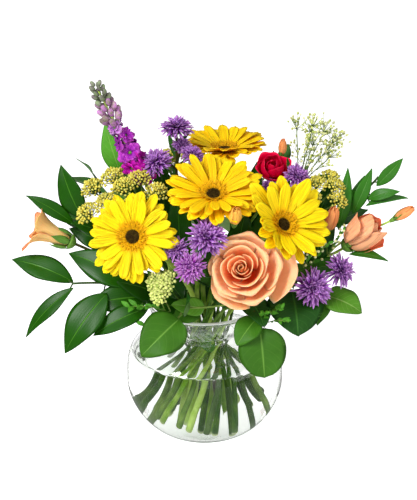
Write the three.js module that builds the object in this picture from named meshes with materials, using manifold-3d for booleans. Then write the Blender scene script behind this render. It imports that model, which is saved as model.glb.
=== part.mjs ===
// Gerberas with a rose, smaller flowers and foliage, standing in a round glass vase of water.
//
// Millimetres, +Z up. The origin is the middle of the vase's flat foot, and -Y faces the viewer.
// The stems cross in the vase's neck as one twisted bundle, so that each is a straight line
// from its cut end up through the neck, and then bends out to its own flower or foliage.

import * as THREE from "three";
import { mergeVertices } from "three/addons/utils/BufferGeometryUtils.js";
import Module from "manifold-3d";

const wasm = await Module();
wasm.setup();

// ---------- Driving dimensions ----------

const VASE = {
  footRadius: 44,
  bellyRadius: 94,
  bellyHeight: 64,
  shoulderRadius: 50,
  shoulderHeight: 119,
  wall: 3,
  floor: 8,
  lowerFullness: 1.68,
  upperFullness: 3.5,
  segments: 28,
};
// The flared collar above the shoulder, as radius and height.
const COLLAR = [[39, 121], [41, 128], [48, 136], [60, 147], [68, 165]];
const WATER_LEVEL = 104;

const BUNDLE = { waistHeight: 118, spacing: 5.4, twist: 0.0224, bendHeight: 150 };
const GOLDEN_ANGLE = Math.PI * (3 - Math.sqrt(5));
// The lowest cut end clears the vase's floor by this much, and the others are cut in steps above it.
const CUT_CLEARANCE = 9;
const CUT_STAGGER = 5;
const STEM_STEPS = 7;
const STEM_SIDES = 6;
// Radii of the stems of clusters, asters and foliage, of sprays and of the spike, and of stalks.
const THIN_STEM = 1.8;
const SPRAY_STEM = 2;
const SPIKE_STEM = 2.6;
const STALK_RADIUS = 1.1;
const SIDE_STALK_RADIUS = 1.4;

const LEAF = { thickness: 0.9, fold: 0.25, petioleInset: 0.12 };
const CLEARANCE = 0.35;

const GERBERA = { discRadius: 9.5, discHeight: 4, rayThickness: 2, rays: 16, stemRadius: 3, neck: 12 };
const ROSE = { at: [42, -100, 247], stemRadius: 3, neck: 40 };
// An aster's depth and its rays' droop, as shares of its radius.
const ASTER = { lobes: 9, depth: 0.5, droop: 0.25 };

// The height of a cluster's small heads, as a share of their width.
const HEAD_SQUASH = 0.7;

// Outlines of closed and open buds and of a ruffled ball, as shares of the radius and length.
const BUD = [[0, 0], [0.55, 0.02], [1, 0.35], [0.85, 0.7], [0.3, 0.97], [0, 1]];
const BELL = [[0, 0], [0.32, 0.02], [0.5, 0.35], [0.75, 0.75], [1, 1], [0.5, 0.85], [0, 0.75]];
const RUFFLE = [[0, 0], [0.5, 0.08], [1, 0.62], [0.9, 0.83], [0.6, 0.96], [0.3, 0.92], [0, 1]];

// Pieces are cut clear of the ones before them in this order.
const ORDER = { vase: 0, stem: 1, flower: 2, filler: 3, leaf: 4, water: 5 };

const FINISH = {
  glass: { color: 0xeef5f2, roughness: 0.04, metalness: 0, transparent: true, opacity: 0.3 },
  water: { color: 0xe4efe6, roughness: 0.02, metalness: 0, transparent: true, opacity: 0.35 },
  stem: { color: 0x6f9a3c, roughness: 0.5, metalness: 0 },
  yellow: { color: 0xffdf12, roughness: 0.6, metalness: 0 },
  gold: { color: 0xf9ab10, roughness: 0.6, metalness: 0 },
  disc: { color: 0x3b2712, roughness: 0.9, metalness: 0 },
  peach: { color: 0xf7a06a, roughness: 0.6, metalness: 0 },
  peachHeart: { color: 0xee6b35, roughness: 0.6, metalness: 0 },
  crimson: { color: 0xc8102e, roughness: 0.6, metalness: 0 },
  magenta: { color: 0xa3209a, roughness: 0.6, metalness: 0 },
  purple: { color: 0x7a3fb2, roughness: 0.7, metalness: 0 },
  filler: { color: 0xd9b93a, roughness: 0.8, metalness: 0 },
  paleFiller: { color: 0xc9d6a0, roughness: 0.8, metalness: 0 },
  budGreen: { color: 0xb2cc55, roughness: 0.8, metalness: 0 },
  darkLeaf: { color: 0x2f6a22, roughness: 0.35, metalness: 0 },
  broadLeaf: { color: 0x4b8a3a, roughness: 0.5, metalness: 0 },
};

// ---------- Small tools ----------

const point = (x, y, z) => new THREE.Vector3(x, y, z);
const UP = point(0, 0, 1);

// The direction that a flower faces, in degrees: azimuth 0 is at the viewer and 90 to the right.
function aim(azimuth, elevation) {
  const turn = THREE.MathUtils.degToRad(azimuth);
  const rise = THREE.MathUtils.degToRad(elevation);
  return point(Math.sin(turn) * Math.cos(rise), -Math.cos(turn) * Math.cos(rise), Math.sin(rise));
}

// A manifold solid of a closed three.js geometry, with its faces pointing out.
function solidOf(geometry) {
  geometry.deleteAttribute("normal");
  geometry.deleteAttribute("uv");
  const merged = mergeVertices(geometry, 1e-3);
  const corners = [];
  for (let i = 0; i < merged.index.count; i += 3) {
    const [a, b, c] = [0, 1, 2].map((k) => merged.index.getX(i + k));
    if (a !== b && b !== c && c !== a) corners.push(a, b, c);
  }
  const make = (triVerts) => new wasm.Manifold(new wasm.Mesh({
    numProp: 3,
    vertProperties: merged.attributes.position.array,
    triVerts: new Uint32Array(triVerts),
  }));
  const body = make(corners);
  return body.volume() > 0 ? body : make(corners.reverse());
}

const join = (solids) => solids.reduce((whole, next) => whole.add(next));

// The turn and shift that take +Z to `facing` and the origin to `at`.
function standing(at, facing) {
  const turn = new THREE.Quaternion().setFromUnitVectors(UP, facing);
  return new THREE.Matrix4().compose(at, turn, point(1, 1, 1));
}

// A solid of a geometry that stands at `at` and faces along `facing`.
const placed = (geometry, at, facing) => solidOf(geometry.applyMatrix4(standing(at, facing)));

// A body turned about +Z from [radius, height] points that start and end on the axis.
function turned(profile, segments) {
  const outline = profile.map(([radius, height]) => new THREE.Vector2(Math.max(radius, 0), height));
  return new THREE.LatheGeometry(outline, segments).rotateX(Math.PI / 2);
}

// A round bar along a curve.
function bar(curve, radius, steps, sides) {
  const section = new THREE.Shape();
  for (let i = 0; i < sides; i += 1) {
    const angle = (i * 2 * Math.PI) / sides;
    section.lineTo(radius * Math.cos(angle), radius * Math.sin(angle));
  }
  section.curves.shift();
  return solidOf(new THREE.ExtrudeGeometry(section, { steps, extrudePath: curve }));
}

// A thin stalk from `from` to `to` that bows upwards by `rise`.
function stalk(from, to, radius, grow, rise) {
  const knee = from.clone().lerp(to, 0.5).addScaledVector(UP, rise * from.distanceTo(to) * 0.5);
  return bar(new THREE.QuadraticBezierCurve3(from, knee, to), radius + grow, 2, 4);
}

// The axes of a leaf: along its midrib, across it, and out of its upper side.
function leafAxes({ from, to, face }) {
  const forward = to.clone().sub(from).normalize();
  const across = new THREE.Vector3().crossVectors(face, forward).normalize();
  return [forward, across, new THREE.Vector3().crossVectors(forward, across)];
}

// How far a leaf's midrib bows out of its chord at a share of its length.
const archAt = ({ from, to, arch }, along) => 4 * arch * from.distanceTo(to) * along * (1 - along);

// A leaf blade: an extruded outline that arches along its midrib and folds up beside it.
function blade(leaf, grow) {
  const length = leaf.from.distanceTo(leaf.to);
  const side = (leaf.width / 2 + grow) / 0.75;
  const outline = new THREE.Shape();
  outline.moveTo(-grow, 0);
  outline.bezierCurveTo(0.22 * length, side, 0.66 * length, side, length + grow, 0);
  outline.bezierCurveTo(0.66 * length, -side, 0.22 * length, -side, -grow, 0);
  const depth = LEAF.thickness + 2 * grow;
  const geometry = new THREE.ExtrudeGeometry(outline, { depth, bevelEnabled: false, curveSegments: 4 });
  const place = geometry.attributes.position;
  for (let i = 0; i < place.count; i += 1) {
    const lift = archAt(leaf, place.getX(i) / length) + LEAF.fold * Math.abs(place.getY(i));
    place.setZ(i, place.getZ(i) - depth / 2 + lift);
  }
  const stand = new THREE.Matrix4().makeBasis(...leafAxes(leaf)).setPosition(leaf.from);
  return solidOf(geometry.applyMatrix4(stand));
}

// A leaf with the petiole that joins it to the nearest sampled point of its stem.
function leafOn(stemLine, leaf, grow) {
  const near = nearestPoint(stemLine, leaf.from);
  const inside = leaf.from.clone().lerp(leaf.to, LEAF.petioleInset);
  inside.addScaledVector(leafAxes(leaf)[2], archAt(leaf, LEAF.petioleInset));
  return join([blade(leaf, grow), stalk(near, inside, STALK_RADIUS, grow, 0.15)]);
}

function nearestPoint(line, target) {
  const samples = line.getPoints(60).filter((p) => p.z > BUNDLE.bendHeight);
  return samples.reduce((best, p) => (p.distanceTo(target) < best.distanceTo(target) ? p : best));
}

// ---------- The vase's outline ----------

// A quarter of a superellipse between two [radius, height] points. It leaves `from` along the
// radius when `flatFirst` is true, and along the height when it is false.
function quarter(from, to, fullness, flatFirst, steps) {
  return Array.from({ length: steps + 1 }, (_, i) => {
    const angle = (i / steps) * (Math.PI / 2);
    const early = Math.sin(angle) ** (2 / fullness);
    const late = 1 - Math.cos(angle) ** (2 / fullness);
    const [u, v] = flatFirst ? [early, late] : [late, early];
    return [from[0] + (to[0] - from[0]) * u, from[1] + (to[1] - from[1]) * v];
  });
}

// A line of [radius, height] points moved sideways, outwards where `distance` is positive.
function offset(line, distance) {
  return line.map(([radius, height], i) => {
    const [r0, z0] = line[Math.max(i - 1, 0)];
    const [r1, z1] = line[Math.min(i + 1, line.length - 1)];
    const length = Math.hypot(r1 - r0, z1 - z0);
    return [radius + (distance * (z1 - z0)) / length, height - (distance * (r1 - r0)) / length];
  });
}

const belly = [VASE.bellyRadius, VASE.bellyHeight];
const shoulder = [VASE.shoulderRadius, VASE.shoulderHeight];
const upperOuter = [...quarter(belly, shoulder, VASE.upperFullness, false, 4), ...COLLAR];
const lowerOuter = quarter([VASE.footRadius, 0], belly, VASE.lowerFullness, true, 4).slice(0, -1);
const innerBelly = [VASE.bellyRadius - VASE.wall, VASE.bellyHeight];
const innerFoot = [VASE.footRadius - 2 * VASE.wall, VASE.floor];
const lowerInner = quarter(innerFoot, innerBelly, VASE.lowerFullness, true, 4).slice(0, -1);
const innerLine = [...lowerInner, ...offset(upperOuter, -VASE.wall)];

function vaseProfile(grow) {
  const outer = offset([...lowerOuter, ...upperOuter], grow);
  const inner = offset(innerLine, -grow);
  const lip = COLLAR[COLLAR.length - 1][1] + grow;
  outer[outer.length - 1][1] = lip;
  inner[inner.length - 1][1] = lip;
  const foot = [[0, -grow], [outer[0][0], -grow]];
  return [...foot, ...outer.slice(1), ...inner.reverse(), [0, VASE.floor + grow]];
}

// The vase's inner radius at a height.
function innerRadius(height) {
  const i = Math.max(innerLine.findIndex(([, z]) => z > height), 1);
  const [[r0, z0], [r1, z1]] = [innerLine[i - 1], innerLine[i]];
  return r0 + ((r1 - r0) * (height - z0)) / (z1 - z0);
}

function waterProfile() {
  const wetted = offset(innerLine, -CLEARANCE).filter(([, z]) => z < WATER_LEVEL);
  const surface = [innerRadius(WATER_LEVEL) - CLEARANCE, WATER_LEVEL];
  return [[0, VASE.floor + CLEARANCE], ...wetted, surface, [0, WATER_LEVEL]];
}

// ---------- Stems ----------

// The middle line of a stem. Slots are numbered outwards from the bundle's middle as seeds are
// in a sunflower head, and every line leans round the bundle by the same twist.
class StemLine extends THREE.Curve {
  constructor(slot, radius, end, facing) {
    super();
    this.ray = (z) => {
      const reach = BUNDLE.spacing * Math.sqrt(slot + 0.5);
      const angle = slot * GOLDEN_ANGLE;
      const lean = BUNDLE.twist * (z - BUNDLE.waistHeight);
      const x = reach * (Math.cos(angle) - lean * Math.sin(angle));
      const y = reach * (Math.sin(angle) + lean * Math.cos(angle));
      return point(x, y, z);
    };
    let cut = VASE.floor + CUT_CLEARANCE + radius + CUT_STAGGER * (slot % 4);
    while (this.ray(cut).setZ(0).length() + radius + 2 > innerRadius(cut)) cut += 1;
    this.foot = this.ray(cut);
    this.bend = this.ray(BUNDLE.bendHeight);
    const up = this.bend.clone().sub(this.foot).normalize();
    const reach = 0.38 * this.bend.distanceTo(end);
    const before = this.bend.clone().addScaledVector(up, reach);
    const after = end.clone().addScaledVector(facing, -reach);
    this.upper = new THREE.CubicBezierCurve3(this.bend, before, after, end);
  }

  // The straight part is the first of the stem's steps, and the bend takes the others.
  getPoint(t, target = new THREE.Vector3()) {
    const step = t * STEM_STEPS;
    if (step < 1) return target.lerpVectors(this.foot, this.bend, step);
    return this.upper.getPoint((step - 1) / (STEM_STEPS - 1), target);
  }

  getPointAt(u, target) {
    return this.getPoint(u, target);
  }

  getTangentAt(u, target) {
    return this.getTangent(u, target);
  }
}

const stemBar = (line, radius, grow) => bar(line, radius + grow, STEM_STEPS, STEM_SIDES);

// ---------- Pieces ----------

const pieces = [];
// `shape` gives the piece's solid, swollen all over by `grow`.
function piece(name, order, finish, shape) {
  pieces.push({ name, order, finish, shape });
}

// A flower's rays: a ring with a lobe for each ray, dished by `cup`.
function rayRing(inner, outer, lobes, thickness, cup, grow) {
  const shape = new THREE.Shape();
  const step = (2 * Math.PI) / lobes;
  for (let i = 0; i < lobes; i += 1) {
    for (const [share, reach] of [[0, 0.8], [0.3, 1], [0.7, 1]]) {
      const angle = (i + share) * step;
      shape.lineTo((outer * reach + grow) * Math.cos(angle), (outer * reach + grow) * Math.sin(angle));
    }
  }
  shape.curves.shift();
  const hole = new THREE.Path();
  hole.absarc(0, 0, inner, 0, 2 * Math.PI, true);
  if (inner > 0) shape.holes.push(hole);
  const depth = thickness + 2 * grow;
  const ring = new THREE.ExtrudeGeometry(shape, { depth, bevelEnabled: false, curveSegments: 6 });
  const place = ring.attributes.position;
  for (let i = 0; i < place.count; i += 1) {
    const reach = Math.hypot(place.getX(i), place.getY(i));
    place.setZ(i, place.getZ(i) - depth / 2 + cup * Math.max(reach - inner, 0));
  }
  return ring;
}

function gerbera(name, slot, { at, facing, radius, cup, finish }) {
  const { discRadius, discHeight, rayThickness, rays, stemRadius, neck } = GERBERA;
  const base = at.clone().addScaledVector(facing, -neck);
  const line = new StemLine(slot, stemRadius, base, facing);
  piece(`${name}_stem`, ORDER.stem, FINISH.stem, (grow) => {
    const cupTop = -rayThickness / 2 - 2 * CLEARANCE + grow;
    const cupProfile = [[0, -16], [3 + grow, -15], [9 + grow, -8], [11 + grow, cupTop], [0, cupTop]];
    return join([stemBar(line, stemRadius, grow), placed(turned(cupProfile, 10), at, facing)]);
  });
  piece(`${name}_rays`, ORDER.flower, finish, (grow) =>
    placed(rayRing(discRadius + 2 * CLEARANCE - grow, radius, rays, rayThickness, cup, grow), at, facing));
  piece(`${name}_disc`, ORDER.flower, FINISH.disc, (grow) => {
    const [low, rim, top] = [-1 - grow, discRadius + grow, discHeight + grow];
    const dome = [[0, low], [rim, low], [rim, 1], [0.7 * rim, 0.8 * top], [0.3 * rim, top], [0, 0.9 * top]];
    return placed(turned(dome, 12), at, facing);
  });
}

// A head turned from an outline given as shares of its radius and length.
function headSolid(outline, radius, length, sides, at, facing, grow) {
  const points = outline.map(([r, z]) => [
    r > 0 ? r * radius + grow : 0,
    z * length + (z > 0.5 ? grow : -grow),
  ]);
  return placed(turned(points, sides), at, facing);
}

function calyx(at, facing, radius, grow) {
  const profile = [[0, -9], [radius + grow, -4], [radius + grow, -1 + grow], [0, -1 + grow]];
  return placed(turned(profile, 6), at, facing);
}

function rose(slot) {
  const at = point(...ROSE.at);
  const facing = aim(-10, 32);
  const base = at.clone().addScaledVector(facing, -ROSE.neck);
  const line = new StemLine(slot, ROSE.stemRadius, base, facing);
  const leaves = [
    leaf([51, -75, 200], [66, -112, 184], 34, aim(20, 50)),
    leaf([-16, -88, 196], [-15, -118, 221], 30, aim(0, 40)),
  ];
  piece("rose_stem", ORDER.stem, FINISH.stem, (grow) => {
    const top = -35.5 + grow;
    const hip = [[0, -50], [5 + grow, -49], [9 + grow, -42], [11 + grow, top], [0, top]];
    return join([stemBar(line, ROSE.stemRadius, grow), placed(turned(hip, 10), at, facing)]);
  });
  piece("rose_outer_petals", ORDER.flower, FINISH.peach, (grow) => {
    const outside = [
      [0, -34 - grow], [20 + grow, -32 - grow], [36 + grow, -20], [46 + grow, -4], [50 + grow, 9 + grow],
    ];
    const inside = [
      [45, 8 + grow], [38 - grow, -5], [30 - grow, -15 + grow], [22, -22 + grow], [0, -23 + grow],
    ];
    return placed(turned([...outside, ...inside], 12), at, facing);
  });
  piece("rose_inner_petals", ORDER.flower, FINISH.peachHeart, (grow) => {
    const base = [[0, -22 - grow], [21, -21 - grow], [29 + grow, -14]];
    const crown = [[35 + grow, -2], [34 + grow, 12], [24, 19], [0, 21]];
    return placed(turned([...base, ...crown], 12), at, facing);
  });
  piece("rose_leaves", ORDER.leaf, FINISH.broadLeaf, (grow) => join([
    ...leaves.map((each) => blade(each, grow)),
    stalk(leaves[0].from, leaves[1].from, SIDE_STALK_RADIUS, grow, -0.1),
  ]));
}

// A spray: one stem that ends in its first flower, with side stalks from `fork` to the others.
function spray(name, slot, radius, heads, fork, leaves = []) {
  const [first, ...others] = heads;
  const line = new StemLine(slot, radius, first.at, first.facing);
  piece(`${name}_stem`, ORDER.stem, FINISH.stem, (grow) => join([
    stemBar(line, radius, grow),
    ...heads.map((head) => calyx(head.at, head.facing, head.calyx, grow)),
    ...others.map((head) => {
      const end = head.at.clone().addScaledVector(head.facing, -5);
      return stalk(line.getPoint(fork), end, SIDE_STALK_RADIUS, grow, 0);
    }),
    ...leaves.map((each) => leafOn(line, each, grow)),
  ]));
  for (const head of heads) piece(head.name, ORDER.flower, head.finish, head.shape);
}

const bud = (name, at, facing, radius, length, outline = BUD) => ({
  name, at, facing, finish: FINISH.peach, calyx: 0.5 * radius,
  shape: (grow) => headSolid(outline, radius, length, 8, at, facing, grow),
});

const asterHead = (name, at, facing, radius) => ({
  name, at, facing, finish: FINISH.purple, calyx: 0.35 * radius,
  shape: (grow) => {
    const middle = at.clone().addScaledVector(facing, 0.27 * radius);
    const ring = rayRing(0, radius, ASTER.lobes, ASTER.depth * radius, -ASTER.droop, grow);
    return placed(ring, middle, facing);
  },
});

// A ruffled ball of petals.
const ruffle = (name, at, facing, radius, finish) => ({
  name, at, facing, finish, calyx: 0.4 * radius,
  shape: (grow) => headSolid(RUFFLE, radius, 1.2 * radius, 10, at, facing, grow),
});

// A flat-topped or domed cluster of small heads on thin stalks.
function cluster(name, slot, finish, { at, facing, fork, spread, dome, count, head }) {
  const outward = fork.clone().sub(point(0, 0, BUNDLE.waistHeight)).normalize();
  const line = new StemLine(slot, THIN_STEM, fork, outward);
  const frame = standing(at, facing);
  piece(name, ORDER.filler, finish, (grow) => join([
    stemBar(line, THIN_STEM, grow),
    ...Array.from({ length: count }, (_, i) => {
      const share = Math.sqrt((i + 0.5) / count);
      const angle = i * GOLDEN_ANGLE;
      const [x, y] = [spread * share * Math.cos(angle), spread * share * Math.sin(angle)];
      const top = point(x, y, dome * (1 - share * share)).applyMatrix4(frame);
      const ball = new THREE.IcosahedronGeometry(head + grow, 0).scale(1, 1, HEAD_SQUASH);
      return join([placed(ball, top, facing), stalk(fork, top, STALK_RADIUS, grow, 0.1)]);
    }),
  ]));
}

// A spike of florets that get smaller towards its tip.
function spike(name, slot, finish, { from, to, radius, count, leaves }) {
  const facing = to.clone().sub(from).normalize();
  const line = new StemLine(slot, SPIKE_STEM, from, facing);
  piece(`${name}_stem`, ORDER.stem, FINISH.stem, (grow) => join([
    stemBar(line, SPIKE_STEM, grow),
    ...leaves.map((each) => leafOn(line, each, grow)),
  ]));
  const start = from.clone().addScaledVector(facing, 3 * CLEARANCE);
  piece(`${name}_florets`, ORDER.flower, finish, (grow) => {
    const core = bar(new THREE.LineCurve3(start, to), 2.5 + grow, 1, 6);
    const frame = standing(start, facing);
    const florets = Array.from({ length: count }, (_, i) => {
      const share = i / (count - 1);
      const angle = i * GOLDEN_ANGLE;
      const size = radius * (1 - 0.55 * share);
      const out = 0.75 * size;
      const height = size + share * (start.distanceTo(to) - size);
      const spot = point(out * Math.cos(angle), out * Math.sin(angle), height).applyMatrix4(frame);
      return placed(new THREE.IcosahedronGeometry(out + grow, 0), spot, facing);
    });
    return join([core, ...florets]);
  });
}

// A leafy branch: a stem with its leaves.
function branch(name, slot, finish, end, facing, leaves) {
  const line = new StemLine(slot, THIN_STEM, end, facing);
  piece(name, ORDER.leaf, finish, (grow) => join([
    stemBar(line, THIN_STEM, grow),
    ...leaves.map((each) => leafOn(line, each, grow)),
  ]));
}

// A leaf given by its base, its tip, its width and the way its upper side looks.
const leaf = (from, to, width, face, arch = 0.1) => ({
  from: point(...from), to: point(...to), width, face, arch,
});

// ---------- The arrangement ----------

piece("vase", ORDER.vase, FINISH.glass, (grow) => solidOf(turned(vaseProfile(grow), VASE.segments)));

gerbera("gerbera_left", 4, {
  at: point(-78, -85, 280), facing: aim(-8, 24), radius: 49, cup: 0.08, finish: FINISH.yellow,
});
gerbera("gerbera_middle", 1, {
  at: point(10, -50, 316), facing: aim(4, 62), radius: 53, cup: 0.15, finish: FINISH.yellow,
});
gerbera("gerbera_right", 2, {
  at: point(87, -60, 284), facing: aim(28, 34), radius: 53, cup: 0.2, finish: FINISH.yellow,
});
gerbera("gerbera_top", 3, {
  at: point(24, 62, 332), facing: aim(0, 88), radius: 49, cup: 0.05, finish: FINISH.gold,
});
rose(7);

spray("spray_rose_left", 22, SPRAY_STEM, [
  bud("spray_rose_left_bloom", point(-156, -20, 249), aim(-90, 25), 19, 42, BELL),
], 0.8);
spray("spray_rose_right", 18, SPRAY_STEM, [
  bud("spray_rose_right_bloom", point(165, -28, 248), aim(85, 40), 19, 44),
  bud("spray_rose_right_bud", point(219, -12, 274), aim(80, 35), 6, 26),
  bud("spray_rose_behind_bloom", point(142, -18, 262), aim(60, 75), 8, 32),
], 0.86);
spray("spray_rose_middle", 0, SPRAY_STEM, [
  bud("spray_rose_top_bud", point(90, 30, 338), aim(10, 80), 5, 20),
  bud("spray_rose_middle_bud", point(38, -72, 292), aim(10, 60), 8, 26),
], 0.62);

spray("carnation", 8, SPRAY_STEM, [
  ruffle("carnation_head", point(78, 20, 318), aim(5, 55), 17, FINISH.crimson),
], 0.8, [
  leaf([58, 40, 262], [76, 78, 296], 20, aim(170, 40)),
]);
spike("stock", 14, FINISH.magenta, {
  from: point(-74, -5, 330), to: point(-120, -5, 428), radius: 15, count: 12, leaves: [
    leaf([-94, 6, 318], [-113, 12, 381], 26, aim(-10, 15)),
    leaf([-82, 8, 312], [-101, 22, 362], 16, aim(0, 20)),
  ],
});

spray("aster_back_left", 6, THIN_STEM, [
  asterHead("aster_back_left_1", point(-32, 20, 372), aim(0, 70), 18),
  asterHead("aster_back_left_2", point(-26, 24, 350), aim(30, 50), 12),
  asterHead("aster_back_left_3", point(-55, -8, 340), aim(-20, 50), 18),
  asterHead("aster_back_left_4", point(-14, 8, 344), aim(20, 60), 13),
], 0.8, [
  leaf([-36, 34, 278], [-66, 62, 318], 22, aim(200, 40)),
]);
spray("aster_front", 20, THIN_STEM, [
  asterHead("aster_front_1", point(3, -98, 284), aim(0, 35), 21),
  asterHead("aster_front_2", point(-15, -106, 252), aim(-10, 25), 17),
  asterHead("aster_front_3", point(-30, -92, 268), aim(-30, 35), 14),
], 0.8);
spray("aster_right", 23, THIN_STEM, [
  asterHead("aster_right_1", point(121, -78, 216), aim(15, 15), 22),
  asterHead("aster_right_2", point(152, -62, 230), aim(40, 25), 19),
], 0.85);
spray("aster_back_right", 5, THIN_STEM, [
  asterHead("aster_back_right_1", point(106, 5, 318), aim(20, 50), 16),
  asterHead("aster_back_right_2", point(76, 0, 308), aim(-10, 60), 11),
], 0.85);

cluster("yellow_filler_left", 9, FINISH.filler, {
  at: point(-96, -22, 306), facing: aim(-35, 62), fork: point(-70, -8, 250),
  spread: 46, dome: 16, count: 9, head: 13,
});
cluster("yellow_filler_right", 13, FINISH.filler, {
  at: point(142, 2, 302), facing: aim(30, 60), fork: point(110, 10, 250),
  spread: 26, dome: 8, count: 5, head: 11,
});
cluster("yellow_filler_back", 11, FINISH.filler, {
  at: point(-34, 98, 300), facing: aim(200, 55), fork: point(-22, 66, 245),
  spread: 42, dome: 14, count: 7, head: 13,
});
cluster("airy_filler", 21, FINISH.paleFiller, {
  at: point(132, 34, 362), facing: aim(60, 62), fork: point(110, 28, 290),
  spread: 34, dome: 14, count: 8, head: 6,
});
cluster("green_bud_cluster", 25, FINISH.budGreen, {
  at: point(-50, -108, 234), facing: aim(-15, 30), fork: point(-36, -78, 212),
  spread: 13, dome: 7, count: 4, head: 10,
});

branch("ruscus_left_low", 17, FINISH.darkLeaf, point(-150, -50, 209), aim(-80, 0), [
  leaf([-150, -45, 209], [-223, -20, 226], 31, aim(-20, 55)),
  leaf([-148, -60, 208], [-204, -70, 151], 20, aim(-40, 20)),
  leaf([-109, -75, 208], [-156, -105, 148], 40, aim(-20, 30)),
  leaf([-62, -88, 196], [-124, -100, 167], 28, aim(-10, 50)),
  leaf([-72, -62, 212], [-155, -35, 240], 40, aim(-20, 45)),
  leaf([-50, -50, 195], [-98, -75, 222], 34, aim(-15, 40)),
  leaf([-25, -50, 190], [-50, -70, 235], 22, aim(0, 25)),
  leaf([-60, -66, 200], [-130, -78, 196], 36, aim(-15, 35)),
]);
branch("ruscus_left_high", 27, FINISH.darkLeaf, point(-139, -5, 271), aim(-60, 70), [
  leaf([-150, -15, 268], [-204, -10, 301], 18, aim(-10, 50)),
  leaf([-139, -8, 271], [-164, 5, 333], 30, aim(-20, 20)),
  leaf([-112, -8, 250], [-152, -28, 274], 22, aim(-20, 50)),
  leaf([-120, 15, 240], [-182, 40, 262], 28, aim(-90, 60)),
  leaf([-105, -5, 235], [-158, 5, 255], 26, aim(-20, 40)),
  leaf([-28, 10, 215], [-32, 20, 300], 30, aim(0, 15)),
]);
branch("ruscus_right", 26, FINISH.darkLeaf, point(201, 15, 315), aim(60, 55), [
  leaf([155, -5, 257], [166, 20, 325], 16, aim(10, 15)),
  leaf([172, 5, 273], [194, 20, 324], 16, aim(0, 20)),
  leaf([167, 20, 268], [188, 38, 309], 14, aim(0, 20)),
  leaf([199, 12, 305], [229, 20, 336], 15, aim(10, 30)),
  leaf([188, 5, 292], [224, -5, 304], 14, aim(0, 40)),
  leaf([186, 0, 285], [235, 0, 294], 14, aim(0, 70)),
  leaf([165, -35, 239], [209, -45, 234], 16, aim(0, 75)),
  leaf([150, 20, 250], [196, 50, 262], 22, aim(90, 60)),
  leaf([120, 0, 230], [150, 10, 290], 26, aim(10, 20)),
  leaf([90, 20, 245], [118, 30, 310], 26, aim(10, 20)),
  leaf([112, -30, 215], [168, -35, 225], 24, aim(20, 50)),
  leaf([55, 0, 215], [75, 10, 285], 30, aim(5, 15)),
]);
branch("ruscus_back_left", 19, FINISH.darkLeaf, point(-128, 88, 268), aim(-125, 40), [
  leaf([-110, 78, 262], [-176, 88, 290], 28, aim(180, 50)),
  leaf([-128, 88, 268], [-160, 130, 300], 28, aim(200, 40)),
  leaf([-84, 66, 238], [-120, 118, 216], 30, aim(200, 50)),
  leaf([-66, 54, 222], [-130, 62, 204], 30, aim(220, 60)),
  leaf([-96, 66, 250], [-98, 104, 306], 26, aim(190, 30)),
  leaf([-50, 52, 216], [-44, 112, 254], 30, aim(190, 50)),
  leaf([-60, 20, 245], [-88, 30, 320], 26, aim(-10, 15)),
  leaf([-45, 25, 250], [-52, 40, 335], 24, aim(0, 15)),
  leaf([-40, 0, 205], [-62, 10, 290], 32, aim(-10, 15)),
]);
branch("ruscus_back_right", 16, FINISH.darkLeaf, point(120, 100, 272), aim(130, 40), [
  leaf([100, 84, 262], [166, 88, 292], 28, aim(170, 50)),
  leaf([120, 100, 272], [146, 142, 304], 28, aim(160, 40)),
  leaf([80, 72, 244], [104, 126, 222], 30, aim(170, 50)),
  leaf([62, 58, 228], [126, 66, 206], 30, aim(140, 60)),
  leaf([92, 82, 258], [84, 112, 316], 26, aim(170, 30)),
  leaf([48, 58, 222], [36, 118, 262], 30, aim(170, 50)),
  leaf([0, 30, 240], [-10, 45, 325], 30, aim(0, 15)),
  leaf([50, 35, 240], [62, 50, 322], 30, aim(0, 15)),
  leaf([30, -10, 205], [48, -5, 285], 32, aim(5, 15)),
]);
branch("broad_leaf_front_left", 12, FINISH.broadLeaf, point(-26, -88, 188), aim(0, 0), [
  leaf([-28, -96, 186], [-69, -128, 156], 50, aim(20, 45)),
  leaf([-4, -62, 186], [-38, -88, 178], 26, aim(10, 40)),
  leaf([-12, 10, 178], [-46, 24, 228], 38, aim(0, 20)),
]);
branch("broad_leaf_front_right", 15, FINISH.broadLeaf, point(60, -88, 182), aim(20, 0), [
  leaf([62, -98, 176], [67, -122, 126], 54, aim(5, 25), 0.06),
  leaf([58, -92, 184], [36, -114, 162], 30, aim(0, 50)),
  leaf([8, 12, 178], [4, 26, 236], 38, aim(0, 20)),
  leaf([34, 6, 178], [56, 16, 226], 38, aim(0, 20)),
]);
branch("broad_leaf_right", 10, FINISH.broadLeaf, point(132, -56, 200), aim(60, 10), [
  leaf([99, -62, 204], [104, -112, 172], 64, aim(10, 55)),
  leaf([136, -60, 198], [178, -76, 184], 40, aim(20, 60)),
  leaf([130, -56, 200], [127, -88, 174], 28, aim(10, 50)),
  leaf([75, -30, 195], [128, -50, 232], 26, aim(10, 45)),
]);
branch("broad_leaf_back", 24, FINISH.broadLeaf, point(14, 120, 236), aim(175, 30), [
  leaf([10, 104, 226], [-34, 142, 186], 50, aim(190, 45)),
  leaf([16, 108, 228], [52, 146, 184], 52, aim(170, 45)),
  leaf([14, 120, 236], [8, 158, 262], 44, aim(180, 50)),
  leaf([0, 74, 206], [-6, 112, 172], 46, aim(180, 50)),
]);

piece("water", ORDER.water, FINISH.water, () => solidOf(turned(waterProfile(), VASE.segments)));

// ---------- The group ----------

function overlaps(a, b) {
  return [0, 1, 2].every((k) => a.min[k] < b.max[k] && b.min[k] < a.max[k]);
}

const largest = (solids) => solids.reduce((a, b) => (a.volume() > b.volume() ? a : b));

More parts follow.
